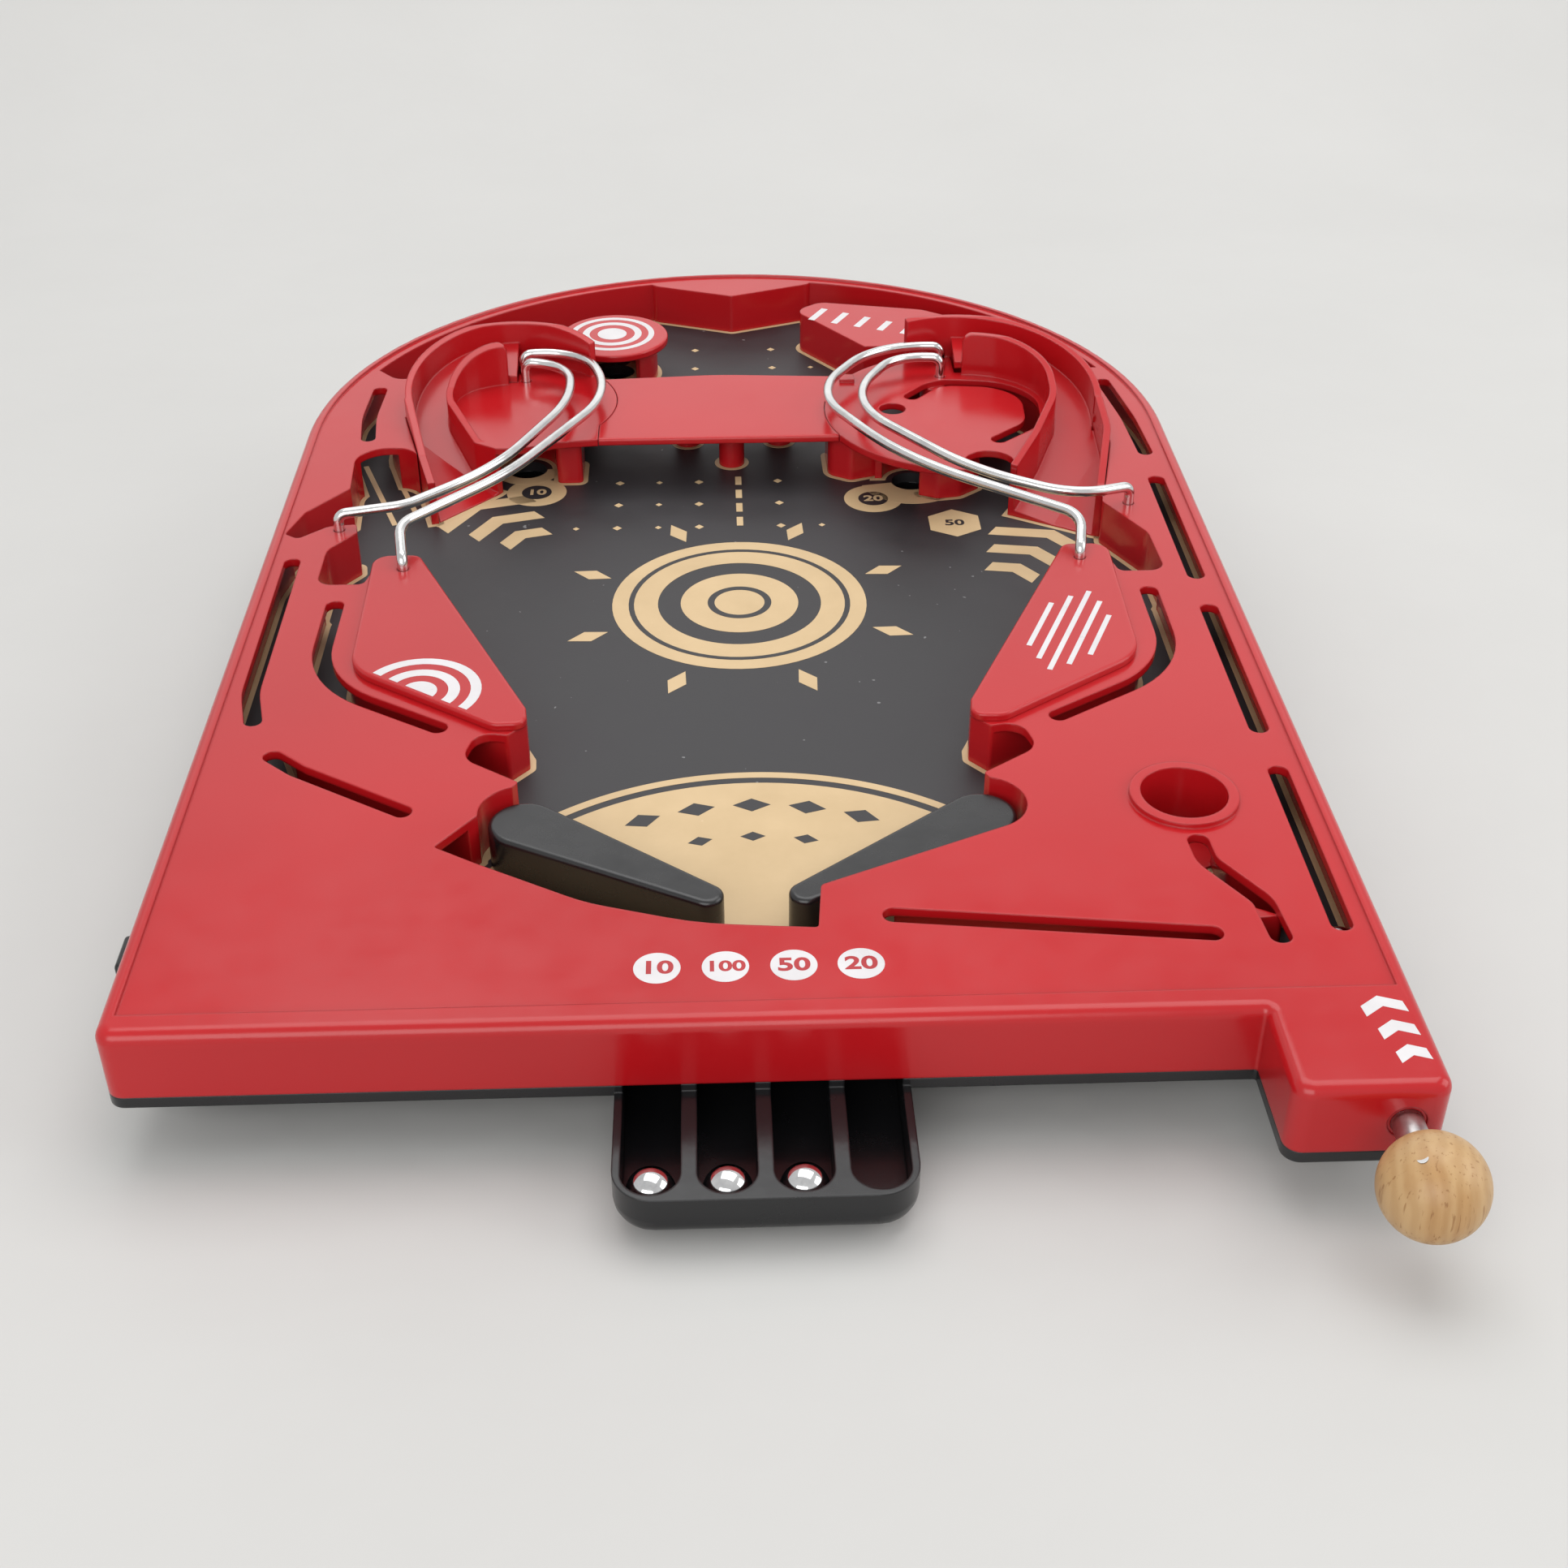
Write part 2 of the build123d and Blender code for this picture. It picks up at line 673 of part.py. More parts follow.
def left_ramp():
    ring = hoop(left_centre, left_outer + ramp_wall, left_outer)
    keep = outline([
        (-110, 268, 0), (-72, 268, 0), (-66.5, 276.5, 0), (-32, 304, 0), (-32, 320, 0), (-110, 320, 0),
    ])
    strip = outline([(-97.4, 271, 0), (-86.6, 228, 0), (-84.6, 228.6, 0), (-95.3, 272, 0)])
    inner_ring = hoop(left_inner_centre, left_inner, left_inner - ramp_wall)
    inner_keep = outline([(-68.4, 268, 0), (-68.4, 300, 0), (-100, 300, 0), (-100, 268, 0)])
    inner_strip = outline([
        (-84.7, 269.5, 0), (-75.3, 249.6, 3), (-69.2, 245.7, 0), (-68.1, 247.4, 0), (-73.8, 251, 2),
        (-82.6, 270, 0),
    ])
    channel = left_channel()
    deck = Pos(*left_centre) * Circle(left_outer + ramp_wall)
    deck += outline([
        (-69.2, 245.9, 0), (-57, 248.2, 4), (-bridge_left, 250.4, 0), (-bridge_left, 293.3, 0), (-50, 294, 0),
        (-70, 280, 0),
    ])
    beside = outline([(-95.3, 272, 0), (-84.6, 228.6, 0), (-110, 228.6, 0), (-110, 272, 0)])
    deck = deck - channel - beside
    walls = (inner_ring & inner_keep) + inner_strip
    solid = ramp_pieces(channel, (ring & keep) + strip, walls, deck, (243, 246, 268, 304))
    x, y = hole_ten
    arc = Pos(x, y) * Circle(10.5) - Pos(x, y) * Circle(8.5) - Pos(x, y - 15) * Rectangle(40, 30)
    leg = outline([(-52.6, 252.6, 1.5), (-45.2, 252.6, 1.5), (-45.2, 266, 1.5), (-52.6, 266, 1.5)])
    solid += prism(arc - channel, board_top, 0)
    solid += prism(leg - Pos(x, y) * Circle(8.5), board_top, 0)
    solid += mouth_floor(left_mouth(), (-84.4, 229), (-69.2, 245.7), 0.238)
    solid -= top_corner(left_inner_centre[0], left_inner_centre[1] + left_inner - 1, 1)
    return insert_post(solid, insert_screws[0], left_rail_seats)


def right_ramp():
    ring = hoop(right_centre, right_outer + ramp_wall, right_outer)
    keep = outline([(115, 262, 0), (66.5, 267.5, 0), (50, 312, 0), (115, 312, 0)])
    strip = outline([
        (104.9, 263, 0), (105.2, 248, 20), (97.8, 214.5, 0), (99.8, 213.9, 0), (107.3, 248, 20),
        (107.0, 263, 0),
    ])
    inner_ring = hoop(right_inner_centre, right_inner, right_inner - ramp_wall)
    inner_keep = outline([(69, 269, 0), (110, 269, 0), (110, 300, 0), (69, 300, 0)])
    inner_strip = outline([
        (77.6, 227, 0), (86, 243, 8), (93.5, 261, 20), (93.5, 270, 0), (91.5, 270, 0), (91.5, 261.4, 20),
        (84.2, 243.9, 8), (75.9, 228, 0),
    ])
    channel = right_channel()
    deck = Pos(*right_centre) * Circle(right_outer + ramp_wall)
    deck += outline([
        (bridge_right, 250.6, 0), (32.5, 249.6, 2), (50.5, 240.2, 3), (61, 236.6, 3), (77.4, 226.8, 0),
        (86, 243, 0),
        (93, 262, 0), (70, 285, 0), (33, 294, 1), (bridge_right, 293.4, 0),
    ])
    beside = outline([(104.9, 264, 0), (105.2, 248, 20), (97.8, 214.5, 0), (125, 214.5, 0), (125, 264, 0)])
    deck = deck - channel - beside
    deck -= lane([(52.5, 277, 0), (61, 287, 10), (88, 284, 16), (86.5, 257, 12), (75, 246.5, 0)], 4.6)
    deck = deck - Pos(*placed(46, 268.4)) * Circle(3.9) - Pos(*placed(70.5, 232)) * Circle(7)
    walls = (inner_ring & inner_keep) + inner_strip
    solid = ramp_pieces(channel, (ring & keep) + strip, walls, deck, (219, 221, 240, 306))
    x, y = hole_twenty
    arc = Pos(x, y) * Circle(10.5) - Pos(x, y) * Circle(8.5) - Pos(x, y - 13) * Rectangle(40, 30)
    leg = lane([(27.2, 268, 0), (27.4, 256, 3), (33, 252.6, 1.5), (41.2, 255.5, 0)], 2)
    nose = outline([(51.4, 241.6, 1), (57, 238.8, 3), (63.5, 239.8, 3), (71, 246, 2), (60, 253, 3)])
    nose -= Pos(x, y) * Circle(8.5)
    for plan in (arc - channel, leg, nose):
        solid += prism(plan, board_top, 0)
    solid += mouth_floor(right_mouth(), (77.6, 227), (97.8, 214.5), 0.213)
    solid -= top_corner(right_inner_centre[0], right_inner_centre[1] + right_inner - 1, -1)
    solid += Pos(33.75, stretched(289.5), deck_top + 0.5) * Box(4.5, 4, 1)
    return insert_post(solid, insert_screws[1], right_rail_seats)


def insert_post(solid, place, rail_seats):
    x, y = place
    solid = solid + disc(x, y, post_diameter / 2, board_top, deck_top - deck_thickness)
    for seat_x, seat_y in rail_seats:
        solid -= disc(seat_x, seat_y, wire_radius + 0.1, deck_top - deck_thickness - 1, deck_top + 1)
    return solid - disc(x, y, screw_radius, board_top, -2)


def bridge_panel():
    plan = outline([
        (-bridge_left + 0.2, 250.6, 0), (bridge_right - 0.2, 250.8, 0), (bridge_right - 0.2, 293.2, 0),
        (-5, 295.6, 90), (-bridge_left + 0.2, 293.2, 0),
    ])
    plan -= Pos(*left_centre) * Circle(left_outer + ramp_wall + 0.2)
    plan -= Pos(*right_centre) * Circle(right_outer + ramp_wall + 0.2)
    panel = prism(plan, deck_top - deck_thickness, deck_top)
    long_edges = panel.faces().sort_by(Axis.Z)[-1].edges().filter_by(lambda e: abs(e.center().X + 5) < 22)
    panel = fillet(long_edges, cap_round)
    for x, y in [insert_screws[2], placed(-14.7, 279), placed(12.8, 279)]:
        panel += disc(x, y, post_diameter / 2, board_top, 0.5)
    x, y = insert_screws[2]
    return panel - disc(x, y, screw_radius, board_top, -2)


def round_roof():
    x, y = hole_hundred
    roof = disc(x, y - 4, 17, -0.6, 1.5)
    roof = fillet(roof.edges().group_by(Axis.Z)[-1], 0.7)
    ring = hoop((x, y - 1.5), 13.4, 11.4)
    centre = (x, y - 1.5)
    gate = make_face(Polyline(centre, (x - 40, y - 12), (x - 40, y - 40), (x + 28, y - 40), centre))
    return roof + prism(ring - gate, board_top, -0.6)


def rail(seat, corners, foot, foot_top):
    # A bent wire that stands in a deck's hole at one end and in the cover's at the other
    start = [(*seat, rail_seat, 0), (*seat, rail_level, rail_bend)]
    finish = [(*foot, foot_top, rail_bend), (*foot, rail_foot, 0)]
    path = Wire([edge.edge() for edge in rounded_edges(start + along(corners) + finish, False)])
    return sweep(Plane(path @ 0, z_dir=path % 0) * Circle(wire_radius), path)


def left_inner_rail():
    corners = [
        (-50.0, 289.5, rail_level, 14), (-48.0, 265.0, rail_level, 56), (-67.0, 220.0, rail_level, 51),
        (-89.5, 204.5, 5.4, 14),
    ]
    return rail(left_rail_seats[0], corners, fin_holes[0], 4.6)


def left_outer_rail():
    corners = [
        (-47.0, 302.0, rail_level, 17), (-36.0, 269.5, rail_level, 44), (-63.0, 217.0, rail_level, 88),
        (-89.0, 188.5, rail_level, 9),
    ]
    return rail(left_rail_seats[1], corners, (-cap_hole[0], cap_hole[1]), 4.8)


def right_inner_rail():
    corners = [
        (48.5, 293.5, rail_level, 15), (31.0, 261.0, rail_level, 33), (63.5, 215.0, rail_level, 60),
        (89.5, 201.5, 6.6, 20),
    ]
    return rail(right_rail_seats[0], corners, fin_holes[1], 5.0)


def right_outer_rail():
    corners = [
        (43.0, 301.5, rail_level, 27), (22.5, 267.5, rail_level, 30), (45.0, 223.0, rail_level, 100),
        (89.0, 187.5, rail_level, 9),
    ]
    return rail(right_rail_seats[1], corners, cap_hole, 4.8)


def along_y(radius, low, high, x=rod_x, z=rod_level):
    return Pos(x, (low + high) / 2, z) * Rot(90, 0, 0) * Cylinder(radius, high - low)


def plunger_bush():
    # Its flange is behind the housing's wall, and its neck fills the hole in that wall
    inside = -block_depth + side_wall
    flange = along_y(bush_flange / 2, inside, inside + bush_rim)
    neck = along_y(bush_neck, -block_depth + 0.3, -block_depth + bush_length)
    return flange + neck - along_y(rod_radius + rod_clearance, -block_depth - 5, 0)


def plunger_rod():
    return along_y(rod_radius, rod_front, tip_front_y - 3) - pin_shape()


def pin_shape():
    outward = Pos(rod_x, pin_y, rod_level) * Rot(0, -pin_turn, 0) * Pos(0, 0, pin_length / 2)
    return outward * Cylinder(knob_pin_diameter / 2, pin_length)


def plunger_knob():
    ball = Pos(rod_x, knob_y, rod_level) * Sphere(knob_diameter / 2)
    ball -= block((rod_x - 12, knob_y + 9.2, rod_level - 12), (rod_x + 12, knob_y + 12, rod_level + 12))
    return ball - along_y(rod_radius, rod_front, 0) - pin_shape()


def knob_pin():
    return pin_shape()


def plunger_collar():
    return along_y(collar_diameter / 2, collar_y, collar_y + collar_length) - along_y(rod_radius, 0, 30)


def plunger_tip():
    tip = along_y(tip_diameter / 2, tip_front_y - tip_length, tip_front_y)
    tip = fillet(tip.edges().sort_by(Axis.Y)[-1], 1.2)
    return tip - along_y(rod_radius, 0, tip_front_y - 3)


def sleeve(length, inner_radius, outer_radius):
    # The plain space of a hidden spring, along +Z from zero
    return Pos(0, 0, length / 2) * (Cylinder(outer_radius, length) - Cylinder(inner_radius, length))


def plunger_spring():
    start = -block_depth + bush_length + spring_gap
    length = collar_y - spring_gap - start
    return Pos(rod_x, start, rod_level) * Rot(-90, 0, 0) * sleeve(length, plunger_bore, plunger_coil)


def flipper():
    x = -pivot_x
    angle = math.radians(flipper_rest)
    end = (x + flipper_length * math.cos(angle), pivot_y - flipper_length * math.sin(angle))
    plan = make_hull([
        (Pos(x, pivot_y) * Circle(flipper_hub)).edge(),
        (Pos(*end) * Circle(flipper_end)).edge(),
    ])
    low = board_top + flipper_float
    blade = prism(plan, low, flipper_top)
    blade = fillet(blade.faces().sort_by(Axis.Z)[-1].edges(), flipper_round)
    blade += disc(x, pivot_y, hub_radius, lever_top, low)
    return blade - disc(x, pivot_y, shaft_radius, lever_top - 1, flipper_top - 2.5)


def flipper_shaft():
    return disc(-pivot_x, pivot_y, shaft_radius, shaft_bottom, flipper_top - 2.5)


def crank_place():
    angle = math.radians(flipper_swing / 2)
    return (-pivot_x - crank_radius * math.sin(angle), pivot_y - crank_radius * math.cos(angle))


def flipper_lever():
    low = lever_top - lever_thickness
    plan = lane([(-pivot_x, pivot_y, 0), (*crank_place(), 0)], 6.4) + Pos(-pivot_x, pivot_y) * Circle(4.6)
    lever = prism(plan, low, lever_top)
    lever += disc(*crank_place(), crank_pin, bar_under - 0.6, low)
    return lever - disc(-pivot_x, pivot_y, shaft_radius, low - 1, lever_top + 1)


def button():
    length = button_reach - bar_start
    middle = Pos(-bar_start - length / 2, button_y, button_top - button_height / 2)
    cap = middle * Box(length, button_width, button_height)
    cap = fillet(cap.edges().filter_by(Axis.X), 1.2)
    return fillet(cap.faces().sort_by(Axis.X)[0].edges(), 1.0)


def push_bar():
    low_y = button_y - bar_width / 2
    high_y = button_y + bar_width / 2
    pin_x, pin_y_rest = crank_place()
    plan = outline([
        (-bar_start, low_y, 0), (-72, low_y, 12), (pin_x + 4.6, 57.5, 3), (pin_x + 4.6, pin_y_rest + 3.4, 1),
        (pin_x - 5, pin_y_rest + 3.4, 1), (-76, high_y, 12), (-bar_start, high_y, 0),
    ])
    plan += Pos(-bar_start + 1, button_y) * Rectangle(2, 17)
    tab_x = -bar_start + 4
    tab_end = spring_y + 3
    plan += outline([
        (tab_x - 1, button_y, 0), (tab_x + 1, button_y, 0), (tab_x + 1, tab_end, 0.5),
        (tab_x - 1, tab_end, 0.5),
    ])
    slot = Pos(pin_x, pin_y_rest - 0.3) * Rectangle(2 * (crank_pin + 0.3), 2 * crank_pin + 1.6)
    bar = prism(plan - slot, bar_under, bar_top)
    peg = Pos(tab_x + 2, spring_y, spring_level) * Rot(0, 90, 0) * Cylinder(spring_peg, 2)
    return bar + peg


def button_spring():
    start = -bar_start + 5 + spring_gap
    length = -post_x - 1.2 - spring_gap - start
    return Pos(start, spring_y, spring_level) * Rot(0, 90, 0) * sleeve(length, button_bore, button_coil)


def mirrored(solid):
    return mirror(solid, about=Plane.YZ)


def ball(x, y, z):
    return Pos(x, y, z) * Sphere(ball_radius)


def tray_ball(index):
    front = -tray_depth + tray_wall + lane_width / 2
    rest_y = front - (lane_width / 2 - ball_radius) + 0.1
    return ball((index - 1.5) * tray_pitch, rest_y, floor_top + ball_radius + ball_seat)


def screw(x, y, seat, top):
    head = disc(x, y, screw_head, seat - screw_head_height, seat)
    for turn in (0, 90):
        head -= Pos(x, y, seat - screw_head_height) * Rot(0, 0, turn) * Box(3.4, 0.7, 2)
    return head + disc(x, y, screw_radius, seat, top)


def cover_screw_set():
    long_ones = [screw(x, y, screw_seat, screw_top) for x, y in cover_screws + insert_screws]
    return Compound(long_ones + [screw(x, y, band_under, screw_top) for x, y in front_screws])


def leg_screw_set():
    places = [side * rear_foot_x + shift for side in (-1, 1) for shift in (-leg_bolt, leg_bolt)]
    return Compound([screw(x, rear_foot_y, tub_under - leg_flange, leg_screw_top) for x in places])


def rear_leg():
    # A flange under the base and a plumb column that tapers up from the foot
    x = -rear_foot_x
    flange = prism(Pos(x, rear_foot_y) * RectangleRounded(28, 18, 4), tub_under - leg_flange, tub_under)
    low = foot_height - foot_recess
    high = rear_foot[2] + 6
    column = Pos(x, rear_foot[1], (low + high) / 2) * Cone(foot_radius + 1.4, leg_neck, high - low)
    column = deck_frame.inverse() * column
    column -= block((x - 40, rear_foot_y - 60, tub_under - 1), (x + 40, rear_foot_y + 60, 60))
    leg = flange + column
    for offset_x in (-leg_bolt, leg_bolt):
        leg -= disc(x + offset_x, rear_foot_y, screw_radius + 0.2, tub_under - 20, tub_under + 1)
        leg -= disc(x + offset_x, rear_foot_y, screw_head + 0.3, tub_under - 25, tub_under - leg_flange)
    return leg - upright(x, rear_foot[1], foot_radius, 0, foot_height)


def rubber_feet():
    pads = []
    for side in (-1, 1):
        pads.append(upright(side * front_foot_x, front_foot[1], foot_radius, 0, foot_height))
        pads.append(upright(side * rear_foot_x, rear_foot[1], foot_radius, 0, foot_height))
    return Compound(pads)


def seated(x, y, z):
    # Where a point of the deck frame comes to in the table's frame
    spot = (deck_frame * Pos(x, y, z)).position
    return (spot.X, spot.Y, spot.Z)


tilt = math.radians(lean_angle)
foot_drop = front_foot_y * math.sin(tilt) + tub_under * math.cos(tilt)
lift = front_foot_drop + foot_height - foot_recess - foot_drop
front_reach = (knob_y * math.cos(tilt) - rod_level * math.sin(tilt)) - knob_diameter / 2
rear_reach = apex_y * math.cos(tilt) - band_under * math.sin(tilt)
deck_frame = Pos(0, -(front_reach + rear_reach) / 2, lift) * Rot(lean_angle, 0, 0)
front_foot = seated(0, front_foot_y, tub_under)
rear_foot = seated(0, rear_foot_y, tub_under)

pieces = {
    "top_cover": top_cover,
    "right_slingshot_cap": slingshot_cap,
    "left_slingshot_cap": lambda: mirrored(slingshot_cap()),
    "playfield_board": playfield_board,
    "base_shell": base_shell,
    "left_ramp": left_ramp,
    "right_ramp": right_ramp,
    "bridge_panel": bridge_panel,
    "round_roof": round_roof,
    "left_inner_rail": left_inner_rail,
    "left_outer_rail": left_outer_rail,
    "right_inner_rail": right_inner_rail,
    "right_outer_rail": right_outer_rail,
    "plunger_bush": plunger_bush,
    "plunger_rod": plunger_rod,
    "plunger_knob": plunger_knob,
    "knob_pin": knob_pin,
    "plunger_collar": plunger_collar,
    "plunger_tip": plunger_tip,
    "plunger_spring": plunger_spring,
    "left_flipper": flipper,
    "left_flipper_shaft": flipper_shaft,
    "left_flipper_lever": flipper_lever,
    "left_button": button,
    "left_push_bar": push_bar,
    "left_button_spring": button_spring,
    "right_flipper": lambda: mirrored(flipper()),
    "right_flipper_shaft": lambda: mirrored(flipper_shaft()),
    "right_flipper_lever": lambda: mirrored(flipper_lever()),
    "right_button": lambda: mirrored(button()),
    "right_push_bar": lambda: mirrored(push_bar()),
    "right_button_spring": lambda: mirrored(button_spring()),
    "tray_ball_left": lambda: tray_ball(0),
    "tray_ball_middle": lambda: tray_ball(1),
    "tray_ball_right": lambda: tray_ball(2),
    "launch_ball": lambda: ball(lane_x, launch_ball_y, ball_level),
    "cover_screws": cover_screw_set,
    "leg_screws": leg_screw_set,
    "left_rear_leg": rear_leg,
    "right_rear_leg": lambda: mirrored(rear_leg()),
    "rubber_feet": rubber_feet,
}

os.makedirs("parts", exist_ok=True)
for name, make in pieces.items():
    export_step(deck_frame * make(), "parts/" + name + ".step")
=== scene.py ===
import math

import bmesh
import bpy
from mathutils import Matrix, Vector


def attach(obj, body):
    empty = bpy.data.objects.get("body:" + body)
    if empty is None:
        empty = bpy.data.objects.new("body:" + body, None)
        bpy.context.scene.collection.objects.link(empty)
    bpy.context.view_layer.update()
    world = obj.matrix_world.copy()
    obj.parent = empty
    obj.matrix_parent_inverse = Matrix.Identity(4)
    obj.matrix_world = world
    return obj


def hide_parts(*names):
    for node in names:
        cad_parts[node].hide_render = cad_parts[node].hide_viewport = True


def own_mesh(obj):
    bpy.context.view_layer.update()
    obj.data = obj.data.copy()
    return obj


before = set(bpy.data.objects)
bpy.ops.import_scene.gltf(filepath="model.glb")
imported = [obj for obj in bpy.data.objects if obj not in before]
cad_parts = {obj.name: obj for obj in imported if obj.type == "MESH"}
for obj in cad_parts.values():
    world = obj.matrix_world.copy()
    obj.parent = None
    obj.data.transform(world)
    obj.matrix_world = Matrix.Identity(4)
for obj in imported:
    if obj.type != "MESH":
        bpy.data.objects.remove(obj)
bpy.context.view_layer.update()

# The deck leans back on its legs. Prints are laid out on it in millimetres and then placed.
millimetre = 0.001
deck = {"lean": 4.75, "shift": -168.462, "lift": 31.053}
deckMatrix = (
    Matrix.Scale(millimetre, 4)
    @ Matrix.Translation((0, deck["shift"], deck["lift"]))
    @ Matrix.Rotation(math.radians(deck["lean"]), 4, "X")
)

# Heights of the printed surfaces, and how far each layer of ink stands up from them
level = {"board": -12.8, "plate": 0.0, "block": 0.6, "roof": 1.5, "cap": 2.0}
ink = {"first": 0.05, "second": 0.08, "third": 0.11}


# Materials

# Noise keeps near its middle, so tones and gloss run over this part of it only
noiseSpan = (0.3, 0.7)
# Detail and roughness of each kind of noise
noiseKinds = {
    "soft": (2.0, 0.5), "drift": (4.0, 0.6), "smears": (6.0, 0.65), "marks": (5.0, 0.6),
    "streaks": (4.0, 0.5), "specks": (1.0, 0.5),
}
fineBump = 0.0001
edgeSamples = 6


def newMaterial(name):
    material = bpy.data.materials.new(name)
    material.use_nodes = True
    shader = material.node_tree.nodes["Principled BSDF"]
    return material, material.node_tree, shader


def addNode(tree, kind, **values):
    node = tree.nodes.new(kind)
    for key, value in values.items():
        if key in node.inputs:
            node.inputs[key].default_value = value
        else:
            setattr(node, key, value)
    return node


def objectPoint(tree, scale=(1, 1, 1), turn=(0, 0, 0)):
    coordinates = addNode(tree, "ShaderNodeTexCoord")
    mapping = addNode(tree, "ShaderNodeMapping", Scale=scale, Rotation=turn)
    tree.links.new(coordinates.outputs["Object"], mapping.inputs["Vector"])
    return mapping.outputs["Vector"]


def noiseOn(tree, point, scale, kind):
    detail, roughness = noiseKinds[kind]
    noise = addNode(tree, "ShaderNodeTexNoise", Scale=scale, Detail=detail, Roughness=roughness)
    tree.links.new(point, noise.inputs["Vector"])
    return noise.outputs["Fac"]


def rampOf(tree, value, span, first, last):
    # The first colour up to where the span starts, and the last from where it ends
    ramp = addNode(tree, "ShaderNodeValToRGB")
    for element, place, colour in zip(ramp.color_ramp.elements, span, (first, last)):
        element.position = place
        element.color = (*colour, 1)
    tree.links.new(value, ramp.inputs["Fac"])
    return ramp.outputs["Color"]


def spread(tree, value, limits):
    node = addNode(tree, "ShaderNodeMapRange")
    node.inputs["From Min"].default_value = noiseSpan[0]
    node.inputs["From Max"].default_value = noiseSpan[1]
    node.inputs["To Min"].default_value = limits[0]
    node.inputs["To Max"].default_value = limits[1]
    tree.links.new(value, node.inputs["Value"])
    return node.outputs["Result"]


def blended(tree, kind, first, second):
    # The colour sockets of a Mix node share their names with others, so they go by number
    mix = addNode(tree, "ShaderNodeMix", data_type="RGBA", blend_type=kind)
    mix.inputs[0].default_value = 1.0
    tree.links.new(first, mix.inputs[6])
    tree.links.new(second, mix.inputs[7])
    return mix.outputs[2]


def bumpFrom(tree, value, strength, distance=fineBump, softEdge=0.0):
    bump = addNode(tree, "ShaderNodeBump", Strength=strength, Distance=distance)
    tree.links.new(value, bump.inputs["Height"])
    if softEdge > 0:
        rounded = addNode(tree, "ShaderNodeBevel", Radius=softEdge)
        rounded.samples = edgeSamples
        tree.links.new(rounded.outputs["Normal"], bump.inputs["Normal"])
    return bump.outputs["Normal"]


def mouldedPlastic(name, look):
    # Shade drift, handling marks in the gloss, and the slight ripple of a moulded skin
    material, tree, shader = newMaterial(name)
    point = objectPoint(tree)
    drift = noiseOn(tree, point, look["driftScale"], "soft")
    colour = rampOf(tree, drift, noiseSpan, look["dark"], look["light"])
    tree.links.new(colour, shader.inputs["Base Color"])
    smear = noiseOn(tree, point, look["smearScale"], "smears")
    tree.links.new(spread(tree, smear, look["gloss"]), shader.inputs["Roughness"])
    ripple = noiseOn(tree, point, look["rippleScale"], "soft")
    normal = bumpFrom(tree, ripple, look["ripple"], rippleDepth, look["softEdge"])
    tree.links.new(normal, shader.inputs["Normal"])
    shader.inputs["Specular IOR Level"].default_value = look["specular"]
    return material


rippleDepth = 0.0004
redLook = {
    "dark": (0.41, 0.006, 0.009), "light": (0.48, 0.009, 0.013), "driftScale": 9, "smearScale": 60,
    "gloss": (0.14, 0.27), "rippleScale": 240, "ripple": 0.05, "softEdge": 0.0007, "specular": 0.5,
}
blackLook = {
    "dark": (0.006, 0.006, 0.007), "light": (0.011, 0.011, 0.012), "driftScale": 14, "smearScale": 80,
    "gloss": (0.16, 0.3), "rippleScale": 300, "ripple": 0.06, "softEdge": 0.0006, "specular": 0.5,
}
flipperLook = dict(blackLook, gloss=(0.2, 0.34), ripple=0.1, specular=0.62)
rubberLook = {
    "dark": (0.016, 0.016, 0.017), "light": (0.03, 0.029, 0.028), "driftScale": 40, "smearScale": 200,
    "gloss": (0.65, 0.85), "rippleScale": 900, "ripple": 0.3, "softEdge": 0.0006, "specular": 0.3,
}
redPlastic = mouldedPlastic("redPlastic", redLook)
blackPlastic = mouldedPlastic("blackPlastic", blackLook)
flipperPlastic = mouldedPlastic("flipperPlastic", flipperLook)
feetRubber = mouldedPlastic("feetRubber", rubberLook)


def metal(name, look):
    # Plated or polished steel with rubbed patches and a fine grain
    material, tree, shader = newMaterial(name)
    point = objectPoint(tree)
    marks = noiseOn(tree, point, look["markScale"], "marks")
    tone = rampOf(tree, marks, rubbedSpan, look["dark"], look["light"])
    tree.links.new(tone, shader.inputs["Base Color"])
    tree.links.new(spread(tree, marks, look["gloss"]), shader.inputs["Roughness"])
    fine = noiseOn(tree, point, look["grainScale"], "soft")
    tree.links.new(bumpFrom(tree, fine, look["bump"]), shader.inputs["Normal"])
    shader.inputs["Metallic"].default_value = 1.0
    return material


rubbedSpan = (0.35, 0.65)
wireChrome = metal("wireChrome", {
    "dark": (0.66, 0.66, 0.66), "light": (0.80, 0.80, 0.79), "markScale": 90, "gloss": (0.14, 0.24),
    "grainScale": 540, "bump": 0.04,
})
ballSteel = metal("ballSteel", {
    "dark": (0.62, 0.62, 0.63), "light": (0.82, 0.82, 0.82), "markScale": 300, "gloss": (0.05, 0.14),
    "grainScale": 1800, "bump": 0.03,
})
plainSteel = metal("plainSteel", {
    "dark": (0.36, 0.36, 0.36), "light": (0.56, 0.55, 0.54), "markScale": 240, "gloss": (0.24, 0.4),
    "grainScale": 1440, "bump": 0.08,
})


